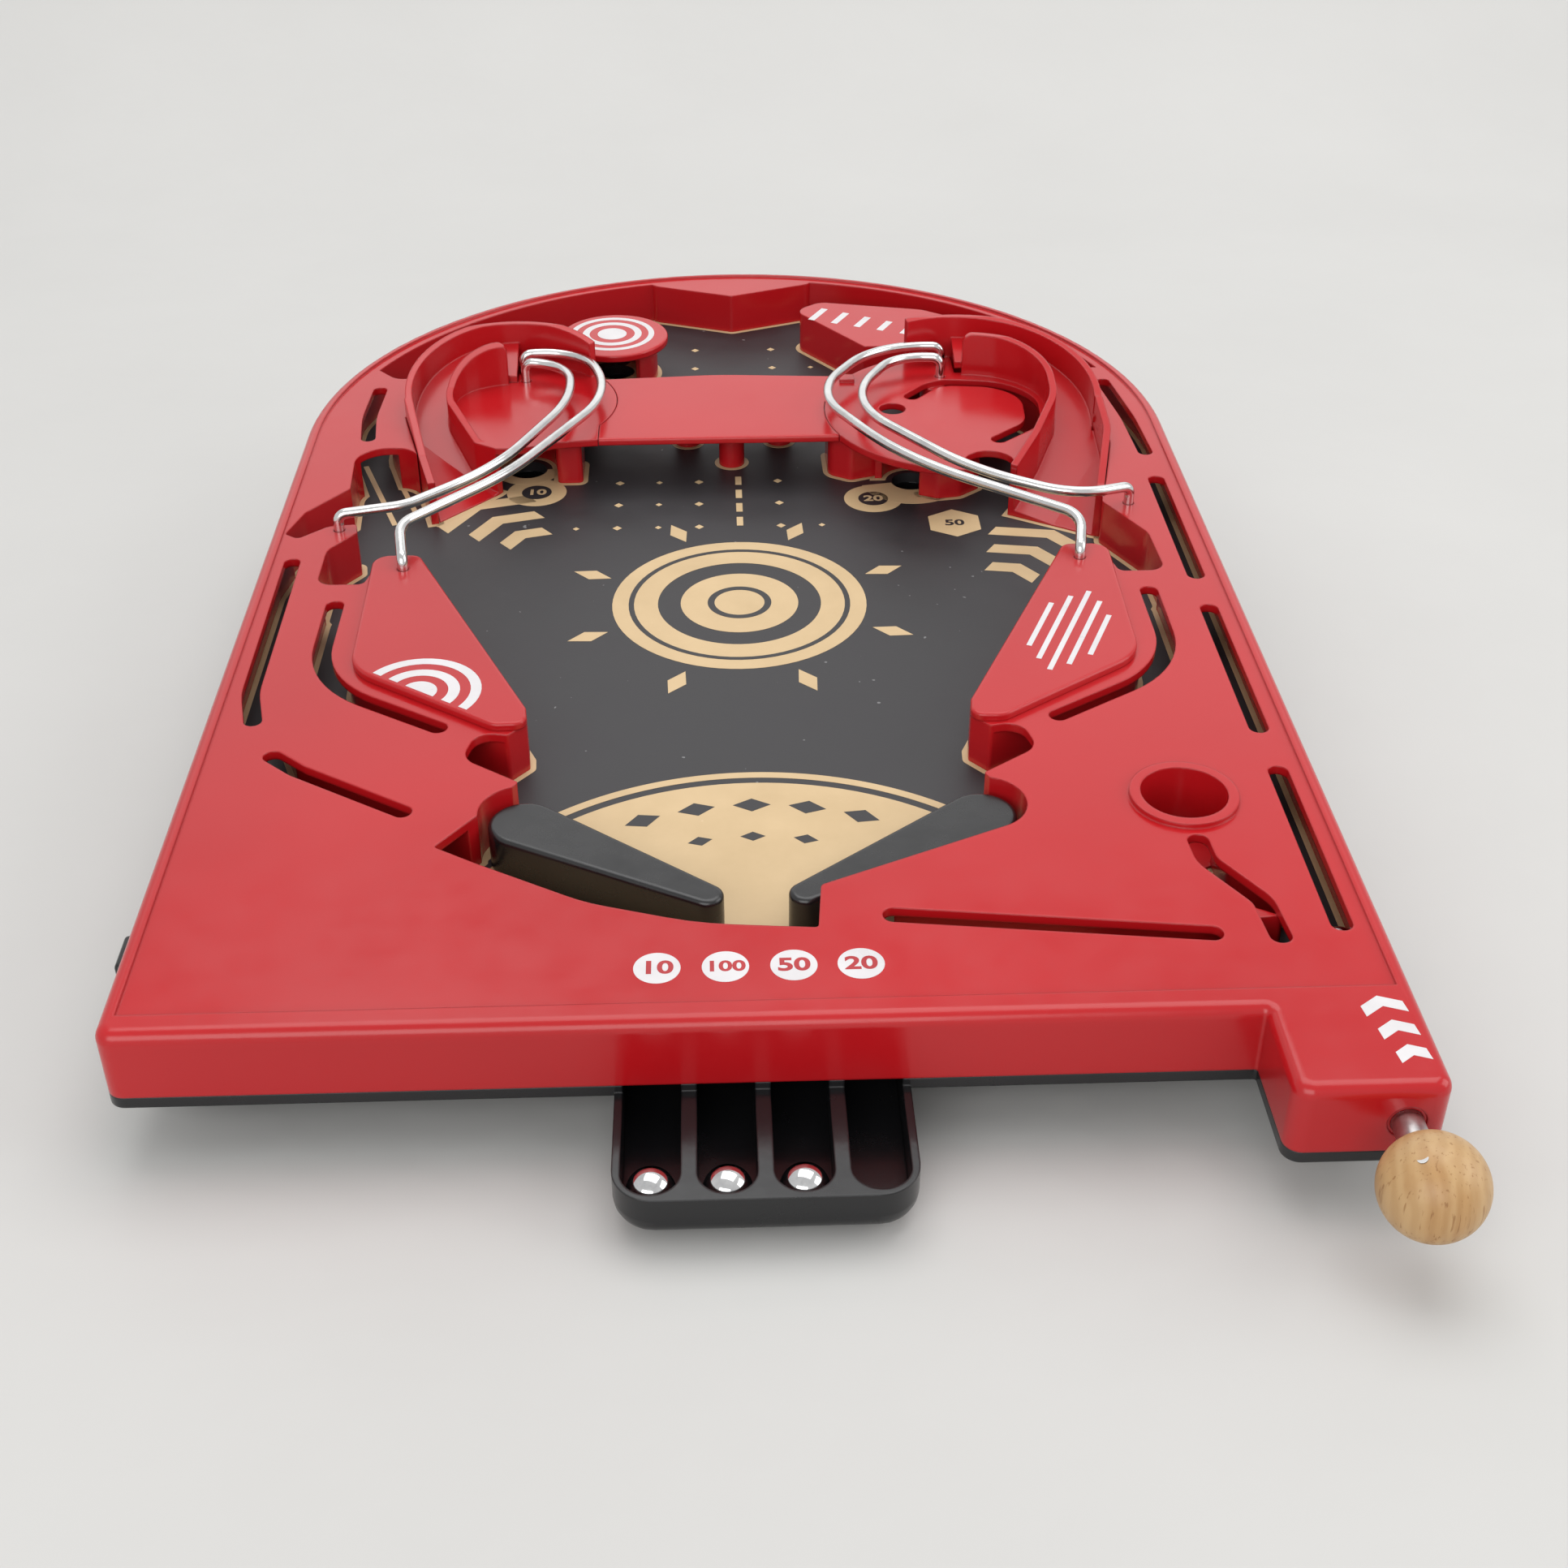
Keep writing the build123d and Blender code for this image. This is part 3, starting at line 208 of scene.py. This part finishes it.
def beechWood(name, look):
    # Turned beech: soft rings, short dark pores along the grain, darker streaks, thin lacquer
    material, tree, shader = newMaterial(name)
    clear = (1, 1, 1)
    rings = addNode(tree, "ShaderNodeTexWave", Scale=look["ringScale"], Distortion=look["wander"])
    rings.inputs["Detail"].default_value = look["wanderDetail"]
    rings.inputs["Detail Scale"].default_value = look["wanderScale"]
    tree.links.new(objectPoint(tree, look["ringStretch"], look["turn"]), rings.inputs["Vector"])
    base = rampOf(tree, rings.outputs["Fac"], look["ringEdge"], look["early"], look["late"])
    porePoint = objectPoint(tree, look["poreStretch"], look["turn"])
    pores = noiseOn(tree, porePoint, look["poreScale"], "soft")
    poreColour = rampOf(tree, pores, look["poreEdge"], clear, look["pore"])
    streakPoint = objectPoint(tree, look["streakStretch"], look["turn"])
    streaks = noiseOn(tree, streakPoint, look["streakScale"], "streaks")
    streakColour = rampOf(tree, streaks, look["streakEdge"], clear, look["streak"])
    worn = blended(tree, "MULTIPLY", base, poreColour)
    tree.links.new(blended(tree, "MULTIPLY", worn, streakColour), shader.inputs["Base Color"])
    tree.links.new(spread(tree, pores, look["gloss"]), shader.inputs["Roughness"])
    tree.links.new(bumpFrom(tree, pores, look["bump"]), shader.inputs["Normal"])
    return material


knobWood = beechWood("knobWood", {
    "turn": (0.5, 0.25, 0.35), "ringStretch": (1, 1, 0.3), "ringScale": 130, "early": (0.50, 0.315, 0.145),
    "late": (0.455, 0.275, 0.12), "poreStretch": (1, 1, 0.05), "poreScale": 1500, "pore": (0.70, 0.60, 0.50),
    "streakStretch": (1, 0.5, 0.12), "streakScale": 170, "streak": (0.90, 0.82, 0.72), "gloss": (0.34, 0.48),
    "wander": 6.0, "wanderScale": 1.2, "wanderDetail": 3.0, "ringEdge": (0.1, 0.9), "poreEdge": (0.62, 0.70),
    "streakEdge": (0.52, 0.68), "bump": 0.15,
})


def printedInk(name, look):
    # Flat ink: even colour, a few pale specks of dust, rubbed gloss and a paper-like tooth
    material, tree, shader = newMaterial(name)
    point = objectPoint(tree)
    drift = noiseOn(tree, point, look["driftScale"], "drift")
    colour = rampOf(tree, drift, noiseSpan, look["dark"], look["light"])
    specks = noiseOn(tree, point, look["speckScale"], "specks")
    dust = rampOf(tree, specks, speckEdge, (0, 0, 0), look["dust"])
    tree.links.new(blended(tree, "ADD", colour, dust), shader.inputs["Base Color"])
    tree.links.new(spread(tree, drift, look["gloss"]), shader.inputs["Roughness"])
    tooth = noiseOn(tree, point, look["toothScale"], "soft")
    tree.links.new(bumpFrom(tree, tooth, look["tooth"]), shader.inputs["Normal"])
    shader.inputs["Specular IOR Level"].default_value = look["specular"]
    return material


speckEdge = (0.79, 0.81)
boardInk = printedInk("boardInk", {
    "dark": (0.020, 0.019, 0.021), "light": (0.031, 0.029, 0.032), "driftScale": 30, "gloss": (0.40, 0.56),
    "speckScale": 420, "dust": (0.16, 0.16, 0.16), "toothScale": 1500, "tooth": 0.12, "specular": 0.45,
})
tanInk = printedInk("tanInk", {
    "dark": (0.56, 0.40, 0.215), "light": (0.63, 0.46, 0.26), "driftScale": 55, "gloss": (0.42, 0.58),
    "speckScale": 420, "dust": (0.04, 0.04, 0.04), "toothScale": 1500, "tooth": 0.15, "specular": 0.4,
})
whiteInk = printedInk("whiteInk", {
    "dark": (0.61, 0.59, 0.60), "light": (0.69, 0.67, 0.68), "driftScale": 90, "gloss": (0.25, 0.4),
    "speckScale": 500, "dust": (0.02, 0.02, 0.02), "toothScale": 900, "tooth": 0.05, "specular": 0.5,
})
redInk = printedInk("redInk", {
    "dark": (0.36, 0.010, 0.016), "light": (0.44, 0.016, 0.022), "driftScale": 90, "gloss": (0.25, 0.4),
    "speckScale": 500, "dust": (0.02, 0.02, 0.02), "toothScale": 900, "tooth": 0.05, "specular": 0.5,
})
print("materials ready")


# Finishes of the pieces that come from the frame

finishes = {
    "top_cover": redPlastic, "left_slingshot_cap": redPlastic, "right_slingshot_cap": redPlastic,
    "left_ramp": redPlastic, "right_ramp": redPlastic, "bridge_panel": redPlastic, "round_roof": redPlastic,
    "base_shell": blackPlastic, "left_rear_leg": blackPlastic, "right_rear_leg": blackPlastic,
    "left_button": blackPlastic, "right_button": blackPlastic, "left_push_bar": blackPlastic,
    "right_push_bar": blackPlastic, "left_flipper_lever": blackPlastic, "right_flipper_lever": blackPlastic,
    "plunger_bush": redPlastic, "plunger_collar": blackPlastic, "plunger_tip": feetRubber,
    "left_flipper": flipperPlastic, "right_flipper": flipperPlastic, "playfield_board": boardInk,
    "rubber_feet": feetRubber, "plunger_knob": knobWood, "plunger_rod": plainSteel, "knob_pin": plainSteel,
    "left_inner_rail": wireChrome, "left_outer_rail": wireChrome, "right_inner_rail": wireChrome,
    "right_outer_rail": wireChrome, "tray_ball_left": ballSteel, "tray_ball_middle": ballSteel,
    "tray_ball_right": ballSteel, "launch_ball": ballSteel,
}
for node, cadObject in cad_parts.items():
    cadObject.data.materials.clear()
    cadObject.data.materials.append(finishes.get(node, plainSteel))
print("frame finishes set")


# Pieces laid out on the deck

merge = 0.0005


def printed(name, bm, material):
    # Places a finished mesh from the deck's millimetres, and lets it ride on the case
    bmesh.ops.remove_doubles(bm, verts=bm.verts, dist=merge)
    bmesh.ops.recalc_face_normals(bm, faces=bm.faces)
    bmesh.ops.transform(bm, matrix=deckMatrix, verts=bm.verts)
    mesh = bpy.data.meshes.new(name)
    bm.to_mesh(mesh)
    bm.free()
    mesh.materials.append(material)
    piece = bpy.data.objects.new(name, mesh)
    bpy.context.scene.collection.objects.link(piece)
    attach(piece, "table")
    return piece


def raised(bm, faces, depth):
    grown = bmesh.ops.extrude_face_region(bm, geom=faces)
    corners = [item for item in grown["geom"] if isinstance(item, bmesh.types.BMVert)]
    bmesh.ops.translate(bm, verts=corners, vec=(0, 0, depth))


def addPatch(bm, points, z, depth):
    corners = [bm.verts.new((x, y, z)) for x, y in points]
    raised(bm, [bm.faces.new(corners)], depth)


def addDisc(bm, place, z, radius, depth, segments=48):
    spot = Matrix.Translation((*place, z))
    made = bmesh.ops.create_circle(bm, cap_ends=True, segments=segments, radius=radius, matrix=spot)
    raised(bm, made["verts"][0].link_faces[:], depth)


def arcPoints(place, radius, start, end, steps):
    points = []
    for index in range(steps + 1):
        angle = math.radians(start + (end - start) * index / steps)
        points.append((place[0] + radius * math.cos(angle), place[1] + radius * math.sin(angle)))
    return points


def addBand(bm, place, z, radii, depth, turn=(0, 360), steps=48):
    # A flat band round a centre, laid as short plates so that it can go all the way round
    outer = arcPoints(place, max(radii), *turn, steps)
    inner = arcPoints(place, min(radii), *turn, steps)
    flat = bmesh.new()
    for index in range(steps):
        corners = [outer[index], outer[index + 1], inner[index + 1], inner[index]]
        flat.faces.new([flat.verts.new((x, y, z)) for x, y in corners])
    bmesh.ops.remove_doubles(flat, verts=flat.verts, dist=merge)
    raised(flat, flat.faces[:], depth)
    joinInto(bm, flat)


def joinInto(bm, other):
    mesh = bpy.data.meshes.new("part")
    other.to_mesh(mesh)
    other.free()
    bm.from_mesh(mesh)
    bpy.data.meshes.remove(mesh)


def turned(points, place, angle):
    # Points drawn about zero, turned and moved to their place
    cos = math.cos(math.radians(angle))
    sin = math.sin(math.radians(angle))
    return [(place[0] + x * cos - y * sin, place[1] + x * sin + y * cos) for x, y in points]


def addBar(bm, place, z, length, width, angle, depth):
    x = length / 2
    y = width / 2
    addPatch(bm, turned([(-x, -y), (x, -y), (x, y), (-x, y)], place, angle), z, depth)


def addDiamond(bm, place, z, length, width, angle, depth):
    x = length / 2
    y = width / 2
    addPatch(bm, turned([(-x, 0), (0, -y), (x, 0), (0, y)], place, angle), z, depth)


def addChevrons(bm, place, z, angle, look, depth):
    # A file of arrowheads that points along the angle, each a little smaller than the last
    for index in range(look["count"]):
        half = look["width"] / 2 - index * look["taper"]
        rise = half * look["rise"]
        back = -index * look["step"]
        band = look["band"]
        points = [
            (back, half), (back + rise, 0), (back, -half),
            (back - band, -half), (back + rise - band, 0), (back - band, half),
        ]
        addPatch(bm, turned(points, place, angle), z, depth)


# Numbers a little bolder and wider than the plain letter shapes
numberStyle = {"bolder": 0.03, "wider": 1.22, "smooth": 5}


def printNumber(name, text, place, z, size, depth, material):
    curve = bpy.data.curves.new(name, "FONT")
    curve.body = text
    curve.size = size
    curve.align_x = "CENTER"
    curve.align_y = "CENTER"
    curve.offset = size * numberStyle["bolder"]
    curve.extrude = depth / 2
    curve.resolution_u = numberStyle["smooth"]
    holder = bpy.data.objects.new(name + "Curve", curve)
    bpy.context.scene.collection.objects.link(holder)
    flat = bpy.data.meshes.new_from_object(holder.evaluated_get(bpy.context.evaluated_depsgraph_get()))
    bpy.data.objects.remove(holder)
    bm = bmesh.new()
    bm.from_mesh(flat)
    bpy.data.meshes.remove(flat)
    middle = Matrix.Translation((*place, z + depth / 2))
    wide = Matrix.Diagonal((numberStyle["wider"], 1, 1, 1))
    bmesh.ops.transform(bm, matrix=middle @ wide, verts=bm.verts)
    printed(name, bm, material)


# Round number discs on the front of the cover
coverPrint = {
    "y": 16.7, "radius": 4.6, "size": 5.3, "longSize": 4.3,
    "numbers": [("10", -20.0), ("100", -6.7), ("50", 6.6), ("20", 19.7)],
}


def buildCoverNumbers():
    z = level["plate"]
    bm = bmesh.new()
    for text, x in coverPrint["numbers"]:
        addDisc(bm, (x, coverPrint["y"]), z, coverPrint["radius"], ink["first"])
    printed("cover_number_discs", bm, whiteInk)
    for text, x in coverPrint["numbers"]:
        size = coverPrint["size"] if len(text) < 3 else coverPrint["longSize"]
        place = (x, coverPrint["y"])
        printNumber("cover_number_" + text, text, place, z, size, ink["second"], redInk)


# White marks on the cover, the slingshot caps and the roof, each a plain pattern
launchMark = {
    "place": (117.2, 0.5), "angle": 98,
    "shape": {"count": 3, "width": 8.4, "taper": 0.6, "rise": 0.55, "band": 3.0, "step": 6.6},
}
leftCapMark = {
    "place": (-76.6, 116.4), "turn": (-35.8, 144.2), "bands": [(14.5, 12.0), (9.5, 6.8), (4.2, 0.05)],
    "steps": 24,
}
rightCapMark = {
    "place": (79, 139), "angle": 67.5, "pitch": 3.7, "width": 1.3, "lengths": [22, 32, 40, 32, 20],
}
roofMark = {"place": (-38.6, 329.4), "bands": [(13.4, 11.6), (9.4, 7.2)], "disc": 4.6}
islandMark = {
    "start": (28, 347), "end": (56, 333), "count": 5, "length": 10.5, "shorter": 0.3, "width": 2.2,
    "angle": 62,
}


def buildWhiteMarks():
    bm = bmesh.new()
    depth = ink["first"]
    addChevrons(bm, launchMark["place"], level["block"], launchMark["angle"], launchMark["shape"], depth)
    for radii in leftCapMark["bands"]:
        turn = leftCapMark["turn"]
        addBand(bm, leftCapMark["place"], level["cap"], radii, depth, turn, leftCapMark["steps"])
    across = math.radians(rightCapMark["angle"] - 90)
    lengths = rightCapMark["lengths"]
    for index, length in enumerate(lengths):
        shift = (index - (len(lengths) - 1) / 2) * rightCapMark["pitch"]
        x = rightCapMark["place"][0] + shift * math.cos(across)
        y = rightCapMark["place"][1] + shift * math.sin(across)
        addBar(bm, (x, y), level["cap"], length, rightCapMark["width"], rightCapMark["angle"], depth)
    for radii in roofMark["bands"]:
        addBand(bm, roofMark["place"], level["roof"], radii, depth)
    addDisc(bm, roofMark["place"], level["roof"], roofMark["disc"], depth)
    for index in range(islandMark["count"]):
        share = index / (islandMark["count"] - 1)
        x = islandMark["start"][0] + share * (islandMark["end"][0] - islandMark["start"][0])
        y = islandMark["start"][1] + share * (islandMark["end"][1] - islandMark["start"][1])
        length = islandMark["length"] * (1 - islandMark["shorter"] * share)
        addBar(bm, (x, y), level["plate"], length, islandMark["width"], islandMark["angle"], depth)
    printed("white_marks", bm, whiteInk)


# Tan patterns on the dark board: a target, a fan by the flippers, arrows at the ramps, rows of diamonds
target = {
    "place": (-1, 181), "band": (33.5, 21.5), "steps": 72, "disc": 15.5,
    "darkBands": [(29.2, 27.8), (8.4, 6.6)], "darkSteps": 64,
}
targetDiamonds = {"count": 8, "first": 22.5, "radius": 42.5, "length": 11, "width": 5}
fan = {
    "place": (0, 28.1), "outer": (73.6, 71.4), "outerTurn": (26, 154), "radius": 69.3, "turn": (-4, 184),
    "steps": 64,
}
fanDiamonds = [
    {"radius": 60.5, "angles": (66, 78, 90, 102, 114), "length": 8.6, "width": 5.0},
    {"radius": 48.5, "angles": (76, 90, 104), "length": 5.6, "width": 3.4},
]
rampArrows = {"count": 3, "width": 30, "taper": 4.0, "rise": 0.42, "band": 5.2, "step": 9.6}
rampArrowPlaces = [((-73, 236), 128), ((84.5, 213), 58)]
rowDiamonds = {"large": 2.6, "small": 1.9}
diamondRows = {"ys": [224, 238, 252], "pitch": 11.5, "sides": [(-4, 2), (-3, 1), (-3, 1)]}
rearRows = {"ys": [318, 334, 349], "pitch": 12.5, "sides": [(-1, 1), (-1, 2), (-1, 1)]}
centreDashes = {"ys": [227, 235.5, 244, 252.5], "length": 5.2, "width": 1.8, "angle": 90}
# Place, length, width and angle
laneStripes = [(-103.5, 247, 40, 1.5, 109), (-97.0, 250, 34, 1.5, 109)]


def addTarget(bm, z):
    addBand(bm, target["place"], z, target["band"], ink["first"], steps=target["steps"])
    addDisc(bm, target["place"], z, target["disc"], ink["first"], target["darkSteps"])
    for index in range(targetDiamonds["count"]):
        angle = targetDiamonds["first"] + 360 * index / targetDiamonds["count"]
        place = turned([(targetDiamonds["radius"], 0)], target["place"], angle)[0]
        addDiamond(bm, place, z, targetDiamonds["length"], targetDiamonds["width"], angle, ink["first"])


def addFan(bm, z):
    addBand(bm, fan["place"], z, fan["outer"], ink["first"], fan["outerTurn"], fan["steps"])
    addPatch(bm, arcPoints(fan["place"], fan["radius"], *fan["turn"], fan["steps"]), z, ink["first"])


def addRows(bm, z, rows):
    for index, y in enumerate(rows["ys"]):
        left, right = rows["sides"][index]
        for step in range(left, right + 1):
            if step != 0:
                size = rowDiamonds["large"] if step % 2 else rowDiamonds["small"]
                addDiamond(bm, (step * rows["pitch"], y), z, size, size, 0, ink["first"])


# A tan line runs round the foot of each wall that stands on the board
wallFoot = {
    "nodes": ["top_cover", "left_ramp", "right_ramp", "bridge_panel", "round_roof"],
    "width": 1.3, "above": 0.35, "sharpest": 0.5, "upright": 0.7,
    "side": 122.9, "front": 2.1, "archStart": 262, "archRise": 120.4,
}


def onBoard(corner):
    # Leaves out the outside of the case and the plunger housing
    back = max(corner.co.y - wallFoot["archStart"], 0) / wallFoot["archRise"]
    across = corner.co.x / wallFoot["side"]
    return corner.co.y > wallFoot["front"] and back * back + across * across < 1


def addWallFeet(bm, z):
    for node in wallFoot["nodes"]:
        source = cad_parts[node]
        cut = bmesh.new()
        cut.from_mesh(source.data)
        bmesh.ops.transform(cut, matrix=deckMatrix.inverted() @ source.matrix_world, verts=cut.verts)
        bmesh.ops.remove_doubles(cut, verts=cut.verts, dist=2 * merge)
        cut.normal_update()
        everything = cut.verts[:] + cut.edges[:] + cut.faces[:]
        height = (0, 0, z + wallFoot["above"])
        made = bmesh.ops.bisect_plane(cut, geom=everything, plane_co=height, plane_no=(0, 0, 1))
        edges = [item for item in made["geom_cut"] if isinstance(item, bmesh.types.BMEdge)]
        flat = bmesh.new()
        layOutwards(flat, edges, z)
        cut.free()
        if len(flat.faces) > 0:
            raised(flat, flat.faces[:], ink["second"])
        joinInto(bm, flat)


def layOutwards(flat, edges, z):
    # One plate per cut edge, from the wall to a line beside it
    sides = {}
    for edge in edges:
        for face in edge.link_faces:
            side = Vector((face.normal.x, face.normal.y))
            if side.length > wallFoot["upright"]:
                for corner in filter(onBoard, edge.verts):
                    sides.setdefault(corner, []).append(side.normalized())
    near = {}
    far = {}
    for corner, normals in sides.items():
        middle = sum(normals, Vector((0, 0))) / len(normals)
        reach = wallFoot["width"] / max(middle.length, wallFoot["sharpest"])
        step = middle.normalized() * reach
        near[corner] = flat.verts.new((corner.co.x, corner.co.y, z))
        far[corner] = flat.verts.new((corner.co.x + step.x, corner.co.y + step.y, z))
    for edge in edges:
        first, second = edge.verts
        if first in near and second in near:
            flat.faces.new([near[first], near[second], far[second], far[first]])


# Numbered patches beside the scoring holes
holePatches = [
    {"hole": (-61.9, 262.0), "band": (9.8, 5.8), "turn": (180, 360)},
    {"hole": (50.3, 250.5), "band": (14.6, 5.8), "turn": (190, 350)},
    {"hole": (-37.9, 332.6), "band": (10.0, 5.8), "turn": (180, 420)},
]
holeSteps = 32
numberPatches = [
    {"text": "10", "place": (-58.4, 247.0), "size": 4.6, "disc": 4.3, "patch": 8.6},
    {"text": "20", "place": (38.6, 239.6), "size": 4.6, "disc": 4.3, "patch": 8.4},
]
fiftyPatch = {"text": "50", "place": (60.4, 223.8), "size": 4.6, "radius": 8.2, "sides": 6}


def buildBoardPrint():
    z = level["board"]
    bm = bmesh.new()
    addTarget(bm, z)
    addFan(bm, z)
    addRows(bm, z, diamondRows)
    addRows(bm, z, rearRows)
    dash = (centreDashes["length"], centreDashes["width"], centreDashes["angle"])
    for y in centreDashes["ys"]:
        addBar(bm, (0, y), z, *dash, ink["first"])
    for x, y, length, width, angle in laneStripes:
        addBar(bm, (x, y), z, length, width, angle, ink["first"])
    for place, angle in rampArrowPlaces:
        addChevrons(bm, place, z, angle, rampArrows, ink["first"])
    for patch in holePatches:
        addBand(bm, patch["hole"], z, patch["band"], ink["second"], patch["turn"], holeSteps)
    for patch in numberPatches:
        addDisc(bm, patch["place"], z, patch["patch"], ink["first"])
    addDisc(bm, fiftyPatch["place"], z, fiftyPatch["radius"], ink["first"], fiftyPatch["sides"])
    addWallFeet(bm, z)
    printed("board_print_tan", bm, tanInk)


def buildBoardDetails():
    z = level["board"]
    bm = bmesh.new()
    for radii in target["darkBands"]:
        addBand(bm, target["place"], z, radii, ink["second"], steps=target["darkSteps"])
    for row in fanDiamonds:
        for angle in row["angles"]:
            place = turned([(row["radius"], 0)], fan["place"], angle)[0]
            addDiamond(bm, place, z, row["length"], row["width"], angle + 90, ink["second"])
    for patch in numberPatches:
        addDisc(bm, patch["place"], z, patch["disc"], ink["second"])
    printed("board_print_dark", bm, boardInk)
    for patch in numberPatches:
        name = "board_number_" + patch["text"]
        printNumber(name, patch["text"], patch["place"], z, patch["size"], ink["third"], tanInk)
    text = fiftyPatch["text"]
    place = fiftyPatch["place"]
    size = fiftyPatch["size"]
    printNumber("board_number_" + text, text, place, z, size, ink["second"], boardInk)


buildCoverNumbers()
buildWhiteMarks()
buildBoardPrint()
buildBoardDetails()
print("prints placed")


# The hidden springs as wound wire

springs = [
    {
        "node": "plunger_spring", "joint": "plunger_pull", "foot": (117, -17.2, -8), "along": (0, 1, 0),
        "length": 25.9, "coil": 3.775, "wire": 0.4, "turns": 9, "travel": 15.0,
    },
    {
        "node": "left_button_spring", "joint": "left_button_press", "foot": (-96.5, 59.5, -21),
        "along": (-1, 0, 0), "length": 16.0, "coil": 2.3, "wire": 0.38, "turns": 6, "travel": 5.92,
    },
    {
        "node": "right_button_spring", "joint": "right_button_press", "foot": (96.5, 59.5, -21),
        "along": (1, 0, 0), "length": 16.0, "coil": 2.3, "wire": 0.38, "turns": 6, "travel": 5.92,
    },
]
stepsPerTurn = 16
wireSides = 8


def buildSpring(look):
    bm = bmesh.new()
    upright = Matrix.Translation((look["coil"], 0, look["wire"])) @ Matrix.Rotation(math.pi / 2, 4, "X")
    bmesh.ops.create_circle(bm, segments=wireSides, radius=look["wire"], matrix=upright)
    steps = look["turns"] * stepsPerTurn
    rise = (look["length"] - 2 * look["wire"]) / steps
    angle = 2 * math.pi * look["turns"]
    bmesh.ops.spin(
        bm, geom=bm.verts[:] + bm.edges[:], cent=(0, 0, 0), axis=(0, 0, 1), dvec=(0, 0, rise),
        angle=angle, steps=steps,
    )
    bmesh.ops.holes_fill(bm, edges=bm.edges[:])
    turn = Vector(look["along"]).to_track_quat("Z", "Y").to_matrix().to_4x4()
    bmesh.ops.transform(bm, matrix=Matrix.Translation(look["foot"]) @ turn, verts=bm.verts)
    piece = printed(look["node"] + "_wire", bm, plainSteel)
    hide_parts(look["node"])
    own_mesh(piece)


for spring in springs:
    buildSpring(spring)
print("springs wound")


# Floor, light and camera

stageLook = {
    "size": 4.0, "turnBack": 0.5, "turnRadius": 0.5, "turnAngle": 36, "turnSteps": 20, "world": 0.67,
    "dark": (0.545, 0.54, 0.525), "light": (0.57, 0.565, 0.55), "clothScale": 5.0, "clothBump": (0.2, 0.01),
    "roughness": 0.75,
}
# Name, place, what it points at, width and height, power
lamps = [
    ("overheadBox", (0.1, 0.35, 1.5), (0, 0.05, 0), (1.6, 1.2), 12.5),
    ("frontFill", (-0.4, -1.4, 0.7), (0, 0, 0), (1.4, 0.9), 10),
    ("rightFill", (1.3, -0.2, 0.7), (0, 0, 0), (0.9, 0.9), 5),
    ("rearBox", (0, 1.7, 1.0), (0, 0.1, 0), (2.6, 1.0), 4),
]


def buildStage():
    # A pale sheet that lies flat and then sweeps up behind
    bm = bmesh.new()
    half = stageLook["size"] / 2
    ends = [bm.verts.new((-half, y, 0)) for y in (-half, stageLook["turnBack"])]
    bm.edges.new(ends)
    centre = (0, stageLook["turnBack"], stageLook["turnRadius"])
    bmesh.ops.spin(
        bm, geom=[ends[1]], cent=centre, axis=(1, 0, 0), angle=math.radians(stageLook["turnAngle"]),
        steps=stageLook["turnSteps"],
    )
    grown = bmesh.ops.extrude_edge_only(bm, edges=bm.edges[:])
    corners = [item for item in grown["geom"] if isinstance(item, bmesh.types.BMVert)]
    bmesh.ops.translate(bm, verts=corners, vec=(stageLook["size"], 0, 0))
    bmesh.ops.recalc_face_normals(bm, faces=bm.faces)
    mesh = bpy.data.meshes.new("floor")
    bm.to_mesh(mesh)
    bm.free()
    for face in mesh.polygons:
        face.use_smooth = True
    floor = bpy.data.objects.new("floor", mesh)
    bpy.context.scene.collection.objects.link(floor)
    material, tree, shader = newMaterial("paleSheet")
    cloth = noiseOn(tree, objectPoint(tree), stageLook["clothScale"], "marks")
    colour = rampOf(tree, cloth, noiseSpan, stageLook["dark"], stageLook["light"])
    tree.links.new(colour, shader.inputs["Base Color"])
    tree.links.new(bumpFrom(tree, cloth, *stageLook["clothBump"]), shader.inputs["Normal"])
    shader.inputs["Roughness"].default_value = stageLook["roughness"]
    mesh.materials.append(material)


def areaLight(name, place, aim, size, power):
    data = bpy.data.lights.new(name, "AREA")
    data.shape = "RECTANGLE"
    data.size, data.size_y = size
    data.energy = power
    lamp = bpy.data.objects.new(name, data)
    lamp.location = place
    lamp.rotation_euler = (Vector(aim) - Vector(place)).to_track_quat("-Z", "Y").to_euler()
    bpy.context.scene.collection.objects.link(lamp)


def buildLights():
    world = bpy.data.worlds.new("studio")
    world.use_nodes = True
    background = world.node_tree.nodes["Background"]
    background.inputs["Color"].default_value = (1.0, 1.0, 1.0, 1)
    background.inputs["Strength"].default_value = stageLook["world"]
    bpy.context.scene.world = world
    for lamp in lamps:
        areaLight(*lamp)


cameraLook = {
    "place": (-6.598, -288.525, 255.245), "forward": (0.0303, 0.8205, -0.5709),
    "up": (0.0211, 0.5705, 0.8210), "focal": 2515.08, "picture": 1932, "sensor": 36, "sight": (0.01, 20),
}


def buildCamera():
    data = bpy.data.cameras.new("photoCamera")
    data.sensor_width = cameraLook["sensor"]
    data.lens = cameraLook["sensor"] * cameraLook["focal"] / cameraLook["picture"]
    data.clip_start, data.clip_end = cameraLook["sight"]
    camera = bpy.data.objects.new("photoCamera", data)
    turn = deckMatrix.to_quaternion().to_matrix()
    forward = (turn @ Vector(cameraLook["forward"])).normalized()
    up = (turn @ Vector(cameraLook["up"])).normalized()
    right = forward.cross(up).normalized()
    up = right.cross(forward)
    axes = Matrix((right, up, -forward)).transposed().to_4x4()
    camera.matrix_world = Matrix.Translation(deckMatrix @ Vector(cameraLook["place"])) @ axes
    bpy.context.scene.collection.objects.link(camera)
    bpy.context.scene.camera = camera


buildStage()
buildLights()
buildCamera()
bpy.context.scene.view_settings.view_transform = "Standard"
print("stage ready")
